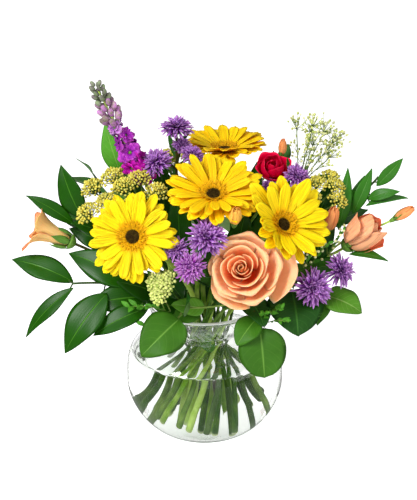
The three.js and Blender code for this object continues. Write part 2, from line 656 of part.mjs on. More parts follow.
function meshOf(name, finish, body) {
  const { numProp, vertProperties, triVerts } = body.getMesh();
  const geometry = new THREE.BufferGeometry();
  geometry.setAttribute("position", new THREE.BufferAttribute(vertProperties, numProp));
  geometry.setIndex(new THREE.BufferAttribute(triVerts, 1));
  geometry.computeVertexNormals();
  const mesh = new THREE.Mesh(geometry, new THREE.MeshStandardMaterial(finish));
  mesh.name = name;
  return mesh;
}

const group = new THREE.Group();
const before = [];
pieces.sort((a, b) => a.order - b.order);
for (const { name, finish, shape } of pieces) {
  const whole = shape(0);
  const cutters = before.filter((other) => overlaps(other.boundingBox(), whole.boundingBox()));
  const cut = cutters.reduce((body, other) => body.subtract(other), whole);
  group.add(meshOf(name, finish, largest(cut.decompose())));
  before.push(shape(CLEARANCE));
}

export default group;
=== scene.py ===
"""Gerberas with a rose, smaller flowers and foliage, standing in a round glass vase of water.

Places and sizes are millimetres in the model's frame (+Z up, -Y towards the viewer), and a mesh
is scaled to metres when it is made. Every flower, leaf and stem is a surface of two parameters:
a sheet that is given a thickness, or rings carried along a path.
"""

import logging
from collections.abc import Iterable, Sequence
from dataclasses import dataclass, field
from enum import Enum
from functools import cache
from typing import Any

import bpy
import numpy as np
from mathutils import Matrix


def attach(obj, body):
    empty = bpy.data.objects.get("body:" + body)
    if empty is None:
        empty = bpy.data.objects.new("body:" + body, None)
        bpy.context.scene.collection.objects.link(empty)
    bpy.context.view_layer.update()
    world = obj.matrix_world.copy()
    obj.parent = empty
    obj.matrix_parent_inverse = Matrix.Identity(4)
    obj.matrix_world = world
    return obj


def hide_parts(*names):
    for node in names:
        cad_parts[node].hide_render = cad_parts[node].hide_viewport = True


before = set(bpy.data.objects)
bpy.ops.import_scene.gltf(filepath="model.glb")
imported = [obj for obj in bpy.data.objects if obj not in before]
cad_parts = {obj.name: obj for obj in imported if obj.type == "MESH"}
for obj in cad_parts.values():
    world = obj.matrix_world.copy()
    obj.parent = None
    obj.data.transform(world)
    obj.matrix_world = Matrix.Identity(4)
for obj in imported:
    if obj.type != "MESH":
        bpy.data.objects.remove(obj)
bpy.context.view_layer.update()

log = logging.getLogger("bouquet")
Array = np.ndarray
Point = tuple[float, float, float]
Pair = tuple[float, float]
TAU = 2.0 * np.pi
MM = 0.001
GOLDEN_ANGLE = np.pi * (3.0 - 5.0**0.5)


# ---------- Vectors and curves ----------


def unit(vectors: Array) -> Array:
    """Vectors scaled to length one along their last axis."""
    return vectors / np.maximum(np.linalg.norm(vectors, axis=-1, keepdims=True), 1e-12)


def aim(azimuth: float, elevation: float) -> Array:
    """A direction from degrees: azimuth 0 is at the viewer and 90 to the right."""
    turn, rise = np.radians([azimuth, elevation])
    return np.array([np.sin(turn) * np.cos(rise), -np.cos(turn) * np.cos(rise), np.sin(rise)])


def bezier(controls: Sequence[Array], share: Array) -> Array:
    """A cubic curve: each of the four controls weighted by its Bernstein term of the share."""
    t = np.asarray(share)[..., None]
    a, b, c, d = (np.asarray(p, float) for p in controls)
    return (1 - t) ** 3 * a + 3 * (1 - t) ** 2 * t * b + 3 * (1 - t) * t**2 * c + t**3 * d


def cross_axes(directions: Array) -> tuple[Array, Array]:
    """Two unit vectors at right angles to each direction, the first of them level."""
    level = np.stack([-directions[..., 1], directions[..., 0], 0 * directions[..., 0]], -1)
    upright = np.linalg.norm(level, axis=-1, keepdims=True) < 1e-6
    right = unit(np.where(upright, [1.0, 0.0, 0.0], level))
    return right, np.cross(directions, right)


@dataclass(frozen=True)
class Stand:
    """A head's place and the way it faces, as degrees of azimuth and elevation."""

    at: Point
    azimuth: float
    elevation: float

    @classmethod
    def towards(cls, place: Array, way: Array) -> "Stand":
        """A head at a place that looks along a unit vector."""
        turn = np.degrees(np.arctan2(way[0], -way[1]))
        return cls(tuple(place), float(turn), float(np.degrees(np.arcsin(way[2]))))

    @property
    def facing(self) -> Array:
        """The unit vector that the head looks along."""
        return aim(self.azimuth, self.elevation)

    def along(self, distance: float) -> Array:
        """The point that far in front of the head."""
        return np.array(self.at) + distance * self.facing

    def place(self, local: Array) -> Array:
        """Points of a head modelled about +Z, moved to where it stands, with +Y upwards."""
        right, up = cross_axes(self.facing)
        return np.array(self.at) + local @ np.stack([right, up, self.facing])


# ---------- Sheets: petals and leaves as functions of two parameters ----------


@dataclass(frozen=True)
class RayRow:
    """One ring of strap-shaped petals.

    A petal leaves the head at `start` from its axis and bends along a circular arc between the
    two angles of `rise`. Its half-width grows from a share `root` at its foot as a quarter sine
    up to `peak` and then shrinks by `fall`, and its end is cut back by `rounding` at the sides
    and by `notch` into three teeth. Its middle dips by `channel`. `loose` scatters its length,
    width and angles, and `sway` bends it to one side.
    """

    count: int
    start: float
    length: float
    width: float
    rise: Pair
    height: float = 0.0
    turn: float = 0.0
    loose: float = 0.06
    sway: float = 0.05
    channel: float = 0.2
    notch: float = 0.03
    rounding: float = 0.2
    root: float = 0.35
    peak: float = 0.62
    fall: float = 0.25
    rows: int = 11
    columns: int = 9

    def sheets(self, rng: np.random.Generator) -> Array:
        """The petals' middle surfaces, as (petal, along, across, xyz) about +Z."""
        s = np.linspace(0, 1, self.rows)[None, :, None]
        w = np.linspace(-1, 1, self.columns)[None, None, :]
        each = (self.count, 1, 1)
        end = 1 - self.rounding * np.abs(w) ** 2.6 - self.notch * (1 - np.cos(3 * np.pi * w)) / 2
        share = s * end
        length = self.length * rng.normal(1, self.loose, each)
        first, last = np.radians(self.rise)
        first = first + rng.normal(0, self.loose, each)
        bend = last - np.radians(self.rise[0]) + rng.normal(0, 3 * self.loose, each) + 1e-4
        angle = first + bend * share
        out = self.start + length * (np.sin(angle) - np.sin(first)) / bend
        up = self.height + length * (np.cos(first) - np.cos(angle)) / bend
        grow = np.sin(np.pi / 2 * np.minimum(share / self.peak, 1))
        late = np.maximum(share - self.peak, 0) / (1 - self.peak)
        half = 0.5 * self.width * rng.normal(1, self.loose, each)
        half = half * (self.root + (1 - self.root) * grow) * (1 - self.fall * late**2)
        twist = rng.normal(0, 3 * self.loose, each) * share
        dip = self.channel * half * (w**2 - 0.5 + 0.25 * np.cos(3 * np.pi * w))
        side, lift = w * half * np.cos(twist), dip + w * half * np.sin(twist)
        out, up = out - lift * np.sin(angle), up + lift * np.cos(angle)
        around = TAU * (np.arange(self.count).reshape(each) + self.turn) / self.count
        around = around + rng.normal(0, 0.8 * self.loose, each)
        around = around + rng.normal(0, self.sway, each) * share**2
        x = out * np.cos(around) - side * np.sin(around)
        y = out * np.sin(around) + side * np.cos(around)
        return np.stack([x, y, up], -1)


@dataclass(frozen=True)
class CupRow:
    """One ring of broad petals that wrap round the axis.

    A petal follows a cubic profile of radius and height, and spreads over `span` degrees about
    the axis. Its rim is cut back by `rounding` at the sides, drawn out by `point` in the middle
    and rippled by `wave`. One side lies `spiral` further out than the other. Its foot is narrowed
    to a share `claw`, and `loose` scatters its radius, height and place.
    """

    count: int
    profile: tuple[Pair, ...]
    span: float
    turn: float = 0.0
    spiral: float = 1.5
    rounding: float = 0.18
    point: float = 0.0
    wave: float = 0.6
    loose: float = 0.04
    claw: float = 0.65
    rows: int = 16
    columns: int = 15

    def sheets(self, rng: np.random.Generator) -> Array:
        """The petals' middle surfaces, as (petal, along, across, xyz) about +Z."""
        s = np.linspace(0, 1, self.rows)[None, :, None]
        w = np.linspace(-1, 1, self.columns)[None, None, :]
        each = (self.count, 1, 1)
        end = 1 - self.rounding * np.abs(w) ** 2.4 + self.point * np.exp(-((w / 0.22) ** 2))
        share = s * end
        curve = bezier(self.profile, share)
        radius = curve[..., 0] * rng.normal(1, self.loose, each) + self.spiral * w * share
        phase = rng.uniform(0, TAU, each)
        ripple = self.wave * np.sin(2.2 * np.pi * w + phase) * share**5
        height = curve[..., 1] + rng.normal(0, 8 * self.loose, each) * share + ripple
        spread = self.claw + (1 - self.claw) * np.sin(np.pi / 2 * np.minimum(share / 0.55, 1))
        around = TAU * (np.arange(self.count).reshape(each) + self.turn) / self.count
        around = around + rng.normal(0, self.loose, each) + w * np.radians(self.span / 2) * spread
        radius = np.maximum(radius + 0.7 * ripple, 0.2)
        return np.stack([radius * np.cos(around), radius * np.sin(around), height], -1)

    def scaled(self, radius: float, length: float) -> "CupRow":
        """The same row with its profile, spiral and wave scaled from shares to millimetres."""
        profile = tuple((r * radius, z * length) for r, z in self.profile)
        values = {**self.__dict__, "profile": profile}
        values.update(spiral=self.spiral * radius, wave=self.wave * radius)
        return CupRow(**values)


class Outline(Enum):
    """A leaf's half-width along its length, as the powers a and b of sin(pi s^a)^b."""

    LANCE = (0.84, 0.95)
    OVATE = (0.72, 0.66)
    ROUND = (0.86, 0.5)
    NARROW = (0.9, 0.8)


@dataclass(frozen=True)
class Leaf:
    """A leaf from its base to its tip; `face` is roughly the way its upper side looks."""

    base: Point
    tip: Point
    width: float
    face: Pair = (0.0, 90.0)
    arch: float = 0.1
    outline: Outline = Outline.LANCE
    fold: float = 0.22
    wave: float = 0.05

    def sheet(self, rng: np.random.Generator, rows: int = 24, columns: int = 11) -> Array:
        """The blade's middle surface: a chord bowed by `arch`, folded up beside its midrib."""
        s = np.linspace(0, 1, rows)[:, None]
        w = np.linspace(-1, 1, columns)[None, :]
        base, chord = np.array(self.base), np.subtract(self.tip, self.base)
        length = np.linalg.norm(chord)
        forward = chord / length
        across = unit(np.cross(aim(*self.face), forward))
        out = np.cross(forward, across)
        a, b = self.outline.value
        half = 0.5 * self.width * np.maximum(np.sin(np.pi * s**a), 0) ** b + 0.25
        side = half * w
        phase = rng.uniform(0, TAU)
        ripple = self.wave * self.width * np.sin(3.2 * np.pi * s + phase) * w**2 * (0.6 + 0.4 * w)
        bow = 4 * self.arch * length * s * (1 - s)
        lift = bow + self.fold * (np.sqrt(side**2 + 0.6) - 0.77) - 0.006 * side**2 + ripple
        along = length * s * np.ones_like(w)
        return base + along[..., None] * forward + side[..., None] * across + lift[..., None] * out


# ---------- Meshes ----------


def sheet_faces(rows: int, columns: int) -> tuple[Array, Array]:
    """Quads and triangles of a thickened sheet: flat loops, closed at both ends by a ladder.

    Args:
        rows: how many loops there are.
        columns: how many points the upper side of a loop has, both edges included.

    Returns:
        The quads and the triangles, as vertex numbers.
    """
    around = 2 * columns - 2
    i, j = np.meshgrid(np.arange(rows - 1), np.arange(around), indexing="ij")
    after = (j + 1) % around
    walls = np.stack(
        [i * around + j, (i + 1) * around + j, (i + 1) * around + after, i * around + after], -1
    )
    k = np.arange(1, columns - 2)
    ladder = np.stack([k, k + 1, around - k - 1, around - k], -1)
    ends = np.array([[0, 1, around - 1], [columns - 2, columns - 1, columns]])
    last = (rows - 1) * around
    quads = np.concatenate([walls.reshape(-1, 4), ladder, ladder[:, ::-1] + last])
    return quads, np.concatenate([ends, ends[:, ::-1] + last])


def ring_faces(rows: int, sides: int) -> tuple[Array, Array]:
    """Quads and triangles of rings along a path, closed by a fan to a pole at each end."""
    i, j = np.meshgrid(np.arange(rows - 1), np.arange(sides), indexing="ij")
    after = (j + 1) % sides
    walls = np.stack(
        [i * sides + j, i * sides + after, (i + 1) * sides + after, (i + 1) * sides + j], -1
    )
    k = np.arange(sides)
    following = (k + 1) % sides
    last = (rows - 1) * sides
    start = np.stack([0 * k + rows * sides, following, k], -1)
    end = np.stack([0 * k + rows * sides + 1, last + k, last + following], -1)
    return walls.reshape(-1, 4), np.concatenate([start, end])


@dataclass
class Growth:
    """Gathers the closed surfaces of one piece, and makes them one mesh.

    Each vertex carries a UV, across and along its own petal or stem, and a `trait`: the petal's
    own random tone and its side, 1 above and 0 below.
    """

    name: str
    parts: list[tuple[Array, ...]] = field(default_factory=list)
    finishes: list["Finish"] = field(default_factory=list)
    total: int = 0

    def __post_init__(self) -> None:
        """Seeds the piece's own random numbers from its name."""
        self.rng = np.random.default_rng(list(self.name.encode()))

    def _add(self, points: Array, faces: tuple[Array, Array], uv: Array, side: Array,
             finish: "Finish") -> None:
        """Adds copies of one shape, given as (copy, vertex, xyz) with the faces of a copy."""
        copies, count = points.shape[:2]
        if finish not in self.finishes:
            self.finishes.append(finish)
        shift = self.total + count * np.arange(copies)[:, None, None]
        tone = np.repeat(self.rng.random(copies), count)
        trait = np.stack([tone, np.tile(side, copies), 0 * tone], -1)
        quads, triangles = (shift + part for part in faces)
        quads, triangles = quads.reshape(-1, 4), triangles.reshape(-1, 3)
        number = self.finishes.index(finish)
        self.parts.append((
            points.reshape(-1, 3), quads, triangles, np.tile(uv, (copies, 1)), trait,
            np.full(len(quads), number), np.full(len(triangles), number),
        ))
        self.total += copies * count

    def sheets(self, middle: Array, thickness: float, finish: "Finish",
               stand: Stand | None = None) -> None:
        """Adds sheets: the middle surface plus and minus half the thickness along its normal.

        Args:
            middle: middle surfaces as (sheet, along, across, xyz), or one without the first axis.
            thickness: the full thickness in the middle, which fades to nothing at both sides.
            finish: the sheets' material.
            stand: where the head stands, for sheets modelled about +Z.
        """
        middle = middle if middle.ndim == 4 else middle[None]
        middle = stand.place(middle) if stand else middle
        copies, rows, columns = middle.shape[:3]
        normal = unit(np.cross(np.gradient(middle, axis=1), np.gradient(middle, axis=2)))
        w = np.linspace(-1, 1, columns)
        lift = normal * (0.5 * thickness * np.sqrt(1 - w**2))[:, None]
        loops = np.concatenate([middle + lift, (middle - lift)[:, :, -2:0:-1]], axis=2)
        across = np.concatenate([w, w[-2:0:-1]]) / 2 + 0.5
        along = np.linspace(0, 1, rows)
        uv = np.stack(np.meshgrid(across, along), -1).reshape(-1, 2)
        side = np.tile(np.repeat([1.0, 0.0], [columns, columns - 2]), rows)
        faces = sheet_faces(rows, columns)
        self._add(loops.reshape(copies, -1, 3), faces, uv, side, finish)

    def petals(self, rows: Iterable[RayRow | CupRow], thickness: float, finish: "Finish",
               head: Stand) -> None:
        """Adds a head's rings of petals, row by row."""
        for row in rows:
            self.sheets(row.sheets(self.rng), thickness, finish, head)

    def rings(self, rings: Array, start: Array, end: Array, finish: "Finish") -> None:
        """Adds closed bodies from rings as (copy, ring, corner, xyz) and the two end points."""
        copies, rows, sides = rings.shape[:3]
        poles = np.stack([start, end], 1)
        points = np.concatenate([rings.reshape(copies, -1, 3), poles], 1)
        around = np.abs(np.linspace(-1, 1, sides, endpoint=False))
        uv = np.stack(np.meshgrid(around, np.linspace(0, 1, rows)), -1).reshape(-1, 2)
        uv = np.concatenate([uv, [[0.5, 0.0], [0.5, 1.0]]])
        self._add(points, ring_faces(rows, sides), uv, np.ones(len(uv)), finish)

    def tubes(self, paths: Array, radius: Array | float, finish: "Finish", sides: int = 8,
              slant: float = 0.0) -> None:
        """Adds round bars along paths, with the first end cut on a slant.

        Args:
            paths: the middle lines as (bar, point, xyz), or one without the first axis.
            radius: one radius, or one for each point of a path.
            finish: the bars' material.
            sides: how many corners a ring has.
            slant: the rise of the first ring, as a share of its radius.
        """
        paths = paths if paths.ndim == 3 else paths[None]
        tangent = unit(np.gradient(paths, axis=1))
        chord = np.abs(paths[:, -1] - paths[:, 0])
        reference = np.eye(3)[np.argmin(chord, axis=1)][:, None]
        normal = unit(reference - np.sum(reference * tangent, -1, keepdims=True) * tangent)
        binormal = np.cross(tangent, normal)
        angle = (TAU * np.arange(sides) / sides)[:, None]
        reach = np.broadcast_to(radius, paths.shape[:2])[..., None, None]
        spokes = normal[:, :, None] * np.cos(angle) + binormal[:, :, None] * np.sin(angle)
        rings = paths[:, :, None] + reach * spokes
        rings[:, 0] += slant * reach[:, 0] * np.cos(angle) * tangent[:, 0, None]
        self.rings(rings, paths[:, 0], paths[:, -1], finish)

    def beads(self, centres: Array, axes: Array, radii: Array | float, lengths: Array | float,
              finish: "Finish", profile: Sequence[Pair], sides: int = 6) -> None:
        """Adds small turned bodies, all with one profile of radius and height shares.

        Args:
            centres: where each body's foot stands, as (body, xyz).
            axes: the way that each one points.
            radii: the radius of each.
            lengths: the length of each.
            finish: their material.
            profile: shares of radius and length, from the foot's pole to the tip's pole.
            sides: how many corners a ring has.
        """
        right, up = cross_axes(axes)
        shape = np.array(profile)
        angle = TAU * np.arange(sides) / sides
        around = right[:, None] * np.cos(angle)[:, None] + up[:, None] * np.sin(angle)[:, None]
        wide = np.broadcast_to(radii, len(centres))[:, None, None, None] * shape[1:-1, 0, None, None]
        tall = np.broadcast_to(lengths, len(centres))[:, None] * shape[:, 1]
        spine = centres[:, None] + tall[..., None] * axes[:, None]
        rings = spine[:, 1:-1, None] + wide * around[:, None]
        self.rings(rings, spine[:, 0], spine[:, -1], finish)

    def redress(self, quads: slice, finish: "Finish") -> None:
        """Gives some quads of the shape that was added last another finish.

        Args:
            quads: which of them; rings have theirs ring by ring, in the order of the profile.
            finish: their new material.
        """
        if finish not in self.finishes:
            self.finishes.append(finish)
        self.parts[-1][5][quads] = self.finishes.index(finish)

    def build(self, slot: str, *nodes: str) -> None:
        """Makes the mesh and settles it in the frame in place of its nodes.

        Args:
            slot: the record's material slot; not used.
            nodes: the CAD nodes that it stands for.
        """
        columns = list(zip(*self.parts))
        points, uv, trait = (np.concatenate(columns[k]) for k in (0, 3, 4))
        faces = [face for k in (1, 2) for part in columns[k] for face in part.tolist()]
        numbers = np.concatenate(columns[5] + columns[6]).astype(np.int32)
        mesh = bpy.data.meshes.new(self.name)
        mesh.from_pydata((points * MM).tolist(), [], faces)
        corners = np.empty(len(mesh.loops), np.int32)
        mesh.loops.foreach_get("vertex_index", corners)
        mesh.uv_layers.new(name="grain").data.foreach_set("uv", uv[corners].ravel())
        mesh.attributes.new("trait", "FLOAT_VECTOR", "POINT").data.foreach_set("vector", trait.ravel())
        for finish in self.finishes:
            mesh.materials.append(finish.material())
        mesh.polygons.foreach_set("material_index", numbers)
        mesh.shade_smooth()
        mesh.update()
        piece = bpy.data.objects.new(self.name, mesh)
        bpy.context.scene.collection.objects.link(piece)
        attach(piece, "root")
        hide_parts(*nodes)
        log.info("%s: %d faces in place of %s", self.name, len(mesh.polygons), ", ".join(nodes))


# ---------- Shader helpers and shared effects ----------

Socket = bpy.types.NodeSocket


def tint(code: str) -> tuple[float, float, float, float]:
    """A colour for a shader from its sRGB code, such as ffdf12."""
    srgb = np.array([int(code[k : k + 2], 16) for k in (0, 2, 4)]) / 255
    linear = np.where(srgb <= 0.04045, srgb / 12.92, ((srgb + 0.055) / 1.055) ** 2.4)
    return (*linear.tolist(), 1.0)


@dataclass
class Graph:
    """Adds nodes to a tree and links their inputs."""

    tree: bpy.types.NodeTree

    def node(self, kind: str, inputs: dict[Any, Any] | None = None, **settings: Any) -> Any:
        """Adds a node, with its settings and its inputs as sockets or plain values."""
        made = self.tree.nodes.new(kind)
        for name, value in settings.items():
            setattr(made, name, value)
        for name, value in (inputs or {}).items():
            if isinstance(value, Socket):
                self.tree.links.new(value, made.inputs[name])
            else:
                made.inputs[name].default_value = value
        return made

    def link(self, output: Socket, to: Any, name: str) -> None:
        """Feeds a node's named input."""
        self.tree.links.new(output, to.inputs[name])

    def math(self, operation: str, *values: Any) -> Socket:
        """A Math node's result."""
        return self.node("ShaderNodeMath", dict(enumerate(values)), operation=operation).outputs[0]

    def plus(self, first: Any, second: Any) -> Socket:
        """The sum of two numbers."""
        return self.math("ADD", first, second)

    def minus(self, first: Any, second: Any) -> Socket:
        """The difference of two numbers."""
        return self.math("SUBTRACT", first, second)

    def times(self, first: Any, second: Any) -> Socket:
        """The product of two numbers."""
        return self.math("MULTIPLY", first, second)

    def ramp(self, value: Any, low: float, high: float) -> Socket:
        """A smooth step from 0 to 1 as the value goes from low to high."""
        inputs = {"Value": value, "From Min": low, "From Max": high}
        node = self.node("ShaderNodeMapRange", inputs, interpolation_type="SMOOTHSTEP")
        return node.outputs[0]

    def mix(self, share: Any, first: Any, second: Any) -> Socket:
        """A mix of two colours."""
        node = self.node("ShaderNodeMix", {0: share, 6: first, 7: second}, data_type="RGBA")
        return node.outputs[2]

    def scaled(self, colour: Any, factor: Any) -> Socket:
        """A colour made lighter or darker by a factor."""
        inputs = {0: colour, "Scale": factor}
        return self.node("ShaderNodeVectorMath", inputs, operation="SCALE").outputs[0]

    def noise(self, vector: Any, scale: Any, detail: float = 2.0) -> Socket:
        """A noise texture's value."""
        inputs = {"Vector": vector, "Scale": scale, "Detail": detail}
        return self.node("ShaderNodeTexNoise", inputs).outputs[0]

    def grain(self) -> tuple[Socket, Socket]:
        """Across and along of the piece's own UV map."""
        uv = self.node("ShaderNodeUVMap", uv_map="grain").outputs[0]
        parts = self.node("ShaderNodeSeparateXYZ", {0: uv})
        return parts.outputs[0], parts.outputs[1]

    def trait(self) -> tuple[Socket, Socket]:
        """Tone and side of the piece's own attribute."""
        read = self.node("ShaderNodeAttribute", attribute_name="trait").outputs["Vector"]
        parts = self.node("ShaderNodeSeparateXYZ", {0: read})
        return parts.outputs[0], parts.outputs[1]

    def patches(self, scale: Any) -> Socket:
        """Soft patches of noise in the piece's own space."""
        place = self.node("ShaderNodeTexCoord").outputs["Object"]
        return self.noise(place, scale, 3.0)


def shared_group(name: str, colours: Sequence[str], numbers: Sequence[str]) -> tuple[Graph, Any, Any]:
    """Starts a node group with colour and number inputs, a Colour output and a Relief output.

    Args:
        name: the group's name.
        colours: the names of its colour inputs.
        numbers: the names of its number inputs.

    Returns:
        The graph, the sockets of the group's inputs and its output node.
    """
    tree = bpy.data.node_groups.new(name, "ShaderNodeTree")
    sockets = (
        ("INPUT", "NodeSocketColor", colours), ("INPUT", "NodeSocketFloat", numbers),
        ("OUTPUT", "NodeSocketColor", ("Colour",)), ("OUTPUT", "NodeSocketFloat", ("Relief",)),
    )
    for way, kind, names in sockets:
        for each in names:
            tree.interface.new_socket(each, in_out=way, socket_type=kind)
    graph = Graph(tree)
    return graph, graph.node("NodeGroupInput").outputs, graph.node("NodeGroupOutput")


@cache
def petal_group() -> bpy.types.NodeTree:
    """A petal: root to rim colours, a colour below, fine streaks along it and its own tone."""
    numbers = ("Streaks", "Variation", "Root length", "Rim length")
    graph, given, result = shared_group("petal_tint", ("Root", "Blade", "Rim", "Under"), numbers)
    across, along = graph.grain()
    tone, side = graph.trait()
    spread = {0: graph.times(across, 16.0), 1: graph.times(along, 1.6), 2: graph.times(tone, 37.0)}
    wide = graph.node("ShaderNodeCombineXYZ", spread).outputs[0]
    streak = graph.ramp(graph.noise(wide, 1.0), 0.42, 0.72)
    root = graph.minus(1.0, graph.math("DIVIDE", along, given["Root length"]))
    colour = graph.mix(graph.ramp(root, 0.0, 1.0), given["Blade"], given["Root"])
    rim = graph.math("DIVIDE", graph.minus(1.0, along), given["Rim length"])
    colour = graph.mix(graph.ramp(rim, 1.0, 0.0), colour, given["Rim"])
    edge = graph.math("ABSOLUTE", graph.minus(across, 0.5))
    colour = graph.mix(graph.times(graph.ramp(edge, 0.36, 0.5), 0.5), colour, given["Rim"])
    colour = graph.mix(side, given["Under"], colour)
    own = graph.times(graph.minus(tone, 0.5), given["Variation"])
    light = graph.plus(graph.minus(1.0, graph.times(streak, given["Streaks"])), own)
    graph.link(graph.scaled(colour, light), result, "Colour")
    graph.link(streak, result, "Relief")
    return graph.tree


@cache
def leaf_group() -> bpy.types.NodeTree:
    """A leaf: midrib and side veins, or parallel veins, patches of tone and a paler underside."""
    numbers = ("Veins", "Parallel", "Strength", "Variation")
    graph, given, result = shared_group("leaf_veins", ("Upper", "Under", "Rib"), numbers)
    across, along = graph.grain()
    tone, side = graph.trait()
    off = graph.times(graph.math("ABSOLUTE", graph.minus(across, 0.5)), 2.0)
    slant = graph.times(graph.math("POWER", off, 1.4), -2.2)
    phase = graph.math("FRACT", graph.plus(graph.times(along, given["Veins"]), slant))
    pinnate = graph.ramp(graph.math("ABSOLUTE", graph.minus(phase, 0.5)), 0.06, 0.0)
    lines = graph.math("SINE", graph.times(off, 44.0))
    lengthwise = graph.times(graph.ramp(lines, 0.2, 1.0), 0.6)
    vein = graph.node("ShaderNodeMix", {0: given["Parallel"], 2: pinnate, 3: lengthwise}).outputs[0]
    vein = graph.times(vein, given["Strength"])
    both = graph.math("MAXIMUM", graph.ramp(off, 0.07, 0.0), vein)
    patch = graph.patches(55.0)
    colour = graph.mix(side, given["Under"], given["Upper"])
    colour = graph.mix(graph.times(both, 0.75), colour, given["Rib"])
    own = graph.plus(graph.times(tone, 0.5), graph.times(patch, 0.8))
    own = graph.times(graph.minus(own, 0.65), given["Variation"])
    light = graph.plus(1.0, graph.times(own, 2.0))
    graph.link(graph.scaled(colour, light), result, "Colour")
    graph.link(graph.minus(graph.times(patch, 0.3), both), result, "Relief")
    return graph.tree


# The share of a stem's length that its pale cut end takes up.
CUT_SHARE = 0.006


@cache
def mottle_group() -> bpy.types.NodeTree:
    """A skin: two colours mixed by soft patches, each part's own tone, and a pale first end."""
    numbers = ("Scale", "Variation", "Pale end")
    graph, given, result = shared_group("mottled_skin", ("Main", "Second", "Cut"), numbers)
    _, along = graph.grain()
    tone, _ = graph.trait()
    patch = graph.patches(given["Scale"])
    colour = graph.mix(graph.ramp(patch, 0.35, 0.7), given["Main"], given["Second"])
    end = graph.minus(1.0, graph.math("DIVIDE", along, CUT_SHARE))
    cut = graph.times(graph.ramp(end, 0.0, 1.0), given["Pale end"])
    colour = graph.mix(cut, colour, given["Cut"])
    own = graph.times(graph.minus(tone, 0.5), given["Variation"])
    graph.link(graph.scaled(colour, graph.plus(1.0, own)), result, "Colour")
    graph.link(patch, result, "Relief")
    return graph.tree


# ---------- Finishes ----------


@dataclass(frozen=True)
class Finish:
    """A named material, which is made once."""

    name: str

    def dress(self, graph: Graph, shader: Any) -> dict[str, Any]:
        """Links what feeds the shader, and gives the values of its other inputs by name."""
        raise NotImplementedError

    @cache
    def material(self) -> bpy.types.Material:
        """The material, made the first time that it is asked for."""
        made = bpy.data.materials.new(self.name)
        made.use_nodes = True
        shader = made.node_tree.nodes["Principled BSDF"]
        for name, value in self.dress(Graph(made.node_tree), shader).items():
            shader.inputs[name].default_value = value
        return made


@dataclass(frozen=True)
class GrownFinish(Finish):
    """A plant's finish, whose colour and relief come from one of the shared groups.

    Each input of the group takes the field of the same name, so `root_length` is "Root length".
    """

    glow = 0.0

    @property
    def group(self) -> bpy.types.NodeTree:
        """The shared group."""
        raise NotImplementedError

    def dress(self, graph: Graph, shader: Any) -> dict[str, Any]:
        """Feeds the shader from the shared group, with light scattered a little under the skin."""
        pattern = graph.node("ShaderNodeGroup", node_tree=self.group)
        for given in pattern.inputs:
            value = getattr(self, given.name.lower().replace(" ", "_"))
            given.default_value = tint(value) if isinstance(value, str) else value
        bump = graph.node("ShaderNodeBump", {"Height": pattern.outputs["Relief"]})
        bump.inputs["Distance"].default_value = self.depth * MM
        graph.link(pattern.outputs["Colour"], shader, "Base Color")
        graph.link(bump.outputs[0], shader, "Normal")
        return {
            "Roughness": self.roughness, "Specular IOR Level": self.shine,
            "Subsurface Weight": self.glow, "Subsurface Radius": (1.0, 0.5, 0.25),
            "Subsurface Scale": 2.0 * MM,
        }


@dataclass(frozen=True)
class PetalFinish(GrownFinish):
    """A petal's colours from root to rim and below, and how streaked it is."""

    root: str
    blade: str
    rim: str
    under: str
    streaks: float = 0.25
    variation: float = 0.2
    root_length: float = 0.4
    rim_length: float = 0.25
    roughness: float = 0.55
    shine: float = 0.15
    glow: float = 0.12
    depth: float = 0.25

    @property
    def group(self) -> bpy.types.NodeTree:
        """The petals' group."""
        return petal_group()


@dataclass(frozen=True)
class LeafFinish(GrownFinish):
    """A leaf's colours above, below and on its ribs, and how its veins run."""

    upper: str
    under: str
    rib: str
    veins: float = 9.0
    parallel: float = 0.0
    strength: float = 0.5
    variation: float = 0.3
    roughness: float = 0.4
    shine: float = 0.18
    depth: float = 0.3

    @property
    def group(self) -> bpy.types.NodeTree:
        """The leaves' group."""
        return leaf_group()


@dataclass(frozen=True)
class SkinFinish(GrownFinish):
    """The skin of a stem, bud or disc: two colours in patches."""

    main: str
    second: str
    cut: str = "dfe3b4"
    scale: float = 90.0
    variation: float = 0.3
    pale_end: float = 0.0
    roughness: float = 0.5
    shine: float = 0.08
    depth: float = 0.15

    @property
    def group(self) -> bpy.types.NodeTree:
        """The mottled group."""
        return mottle_group()


@dataclass(frozen=True)
class ClearFinish(Finish):
    """Glass or water: it bends light and lets light through to what stands in it. Its colour is
    painted darker where it is seen edge on, a painted shade for the dark outlines of real glass."""

    edge: str
    bend: float
    edge_shade_start: float = 0.7
    clear: str = "ffffff"
    roughness: float = 0.0
    clearness: float = 1.0
    shade: str = "f4f8f5"

    def dress(self, graph: Graph, shader: Any) -> dict[str, Any]:
        """Paints shade into the colour by how edge on it is seen, and mixes it with clear for lamps' light.
        """
        facing = graph.node("ShaderNodeLayerWeight", {"Blend": 0.5}).outputs["Facing"]
        # Painted shade: the colour runs towards `edge` where the surface is seen edge on, for the dark
        # outlines of glass.
        grazing = graph.ramp(facing, self.edge_shade_start, 1.0)
        graph.link(graph.mix(grazing, tint(self.clear), tint(self.edge)), shader, "Base Color")
        path = graph.node("ShaderNodeLightPath")
        soft = graph.math("MAXIMUM", path.outputs["Is Shadow Ray"], path.outputs["Is Diffuse Ray"])
        through = graph.node("ShaderNodeBsdfTransparent", {"Color": tint(self.shade)})
        inputs = {0: soft, 1: shader.outputs[0], 2: through.outputs[0]}
        mixed = graph.node("ShaderNodeMixShader", inputs)
        graph.link(mixed.outputs[0], graph.tree.nodes["Material Output"], "Surface")
        return {
            "Roughness": self.roughness, "IOR": self.bend, "Transmission Weight": self.clearness,
        }
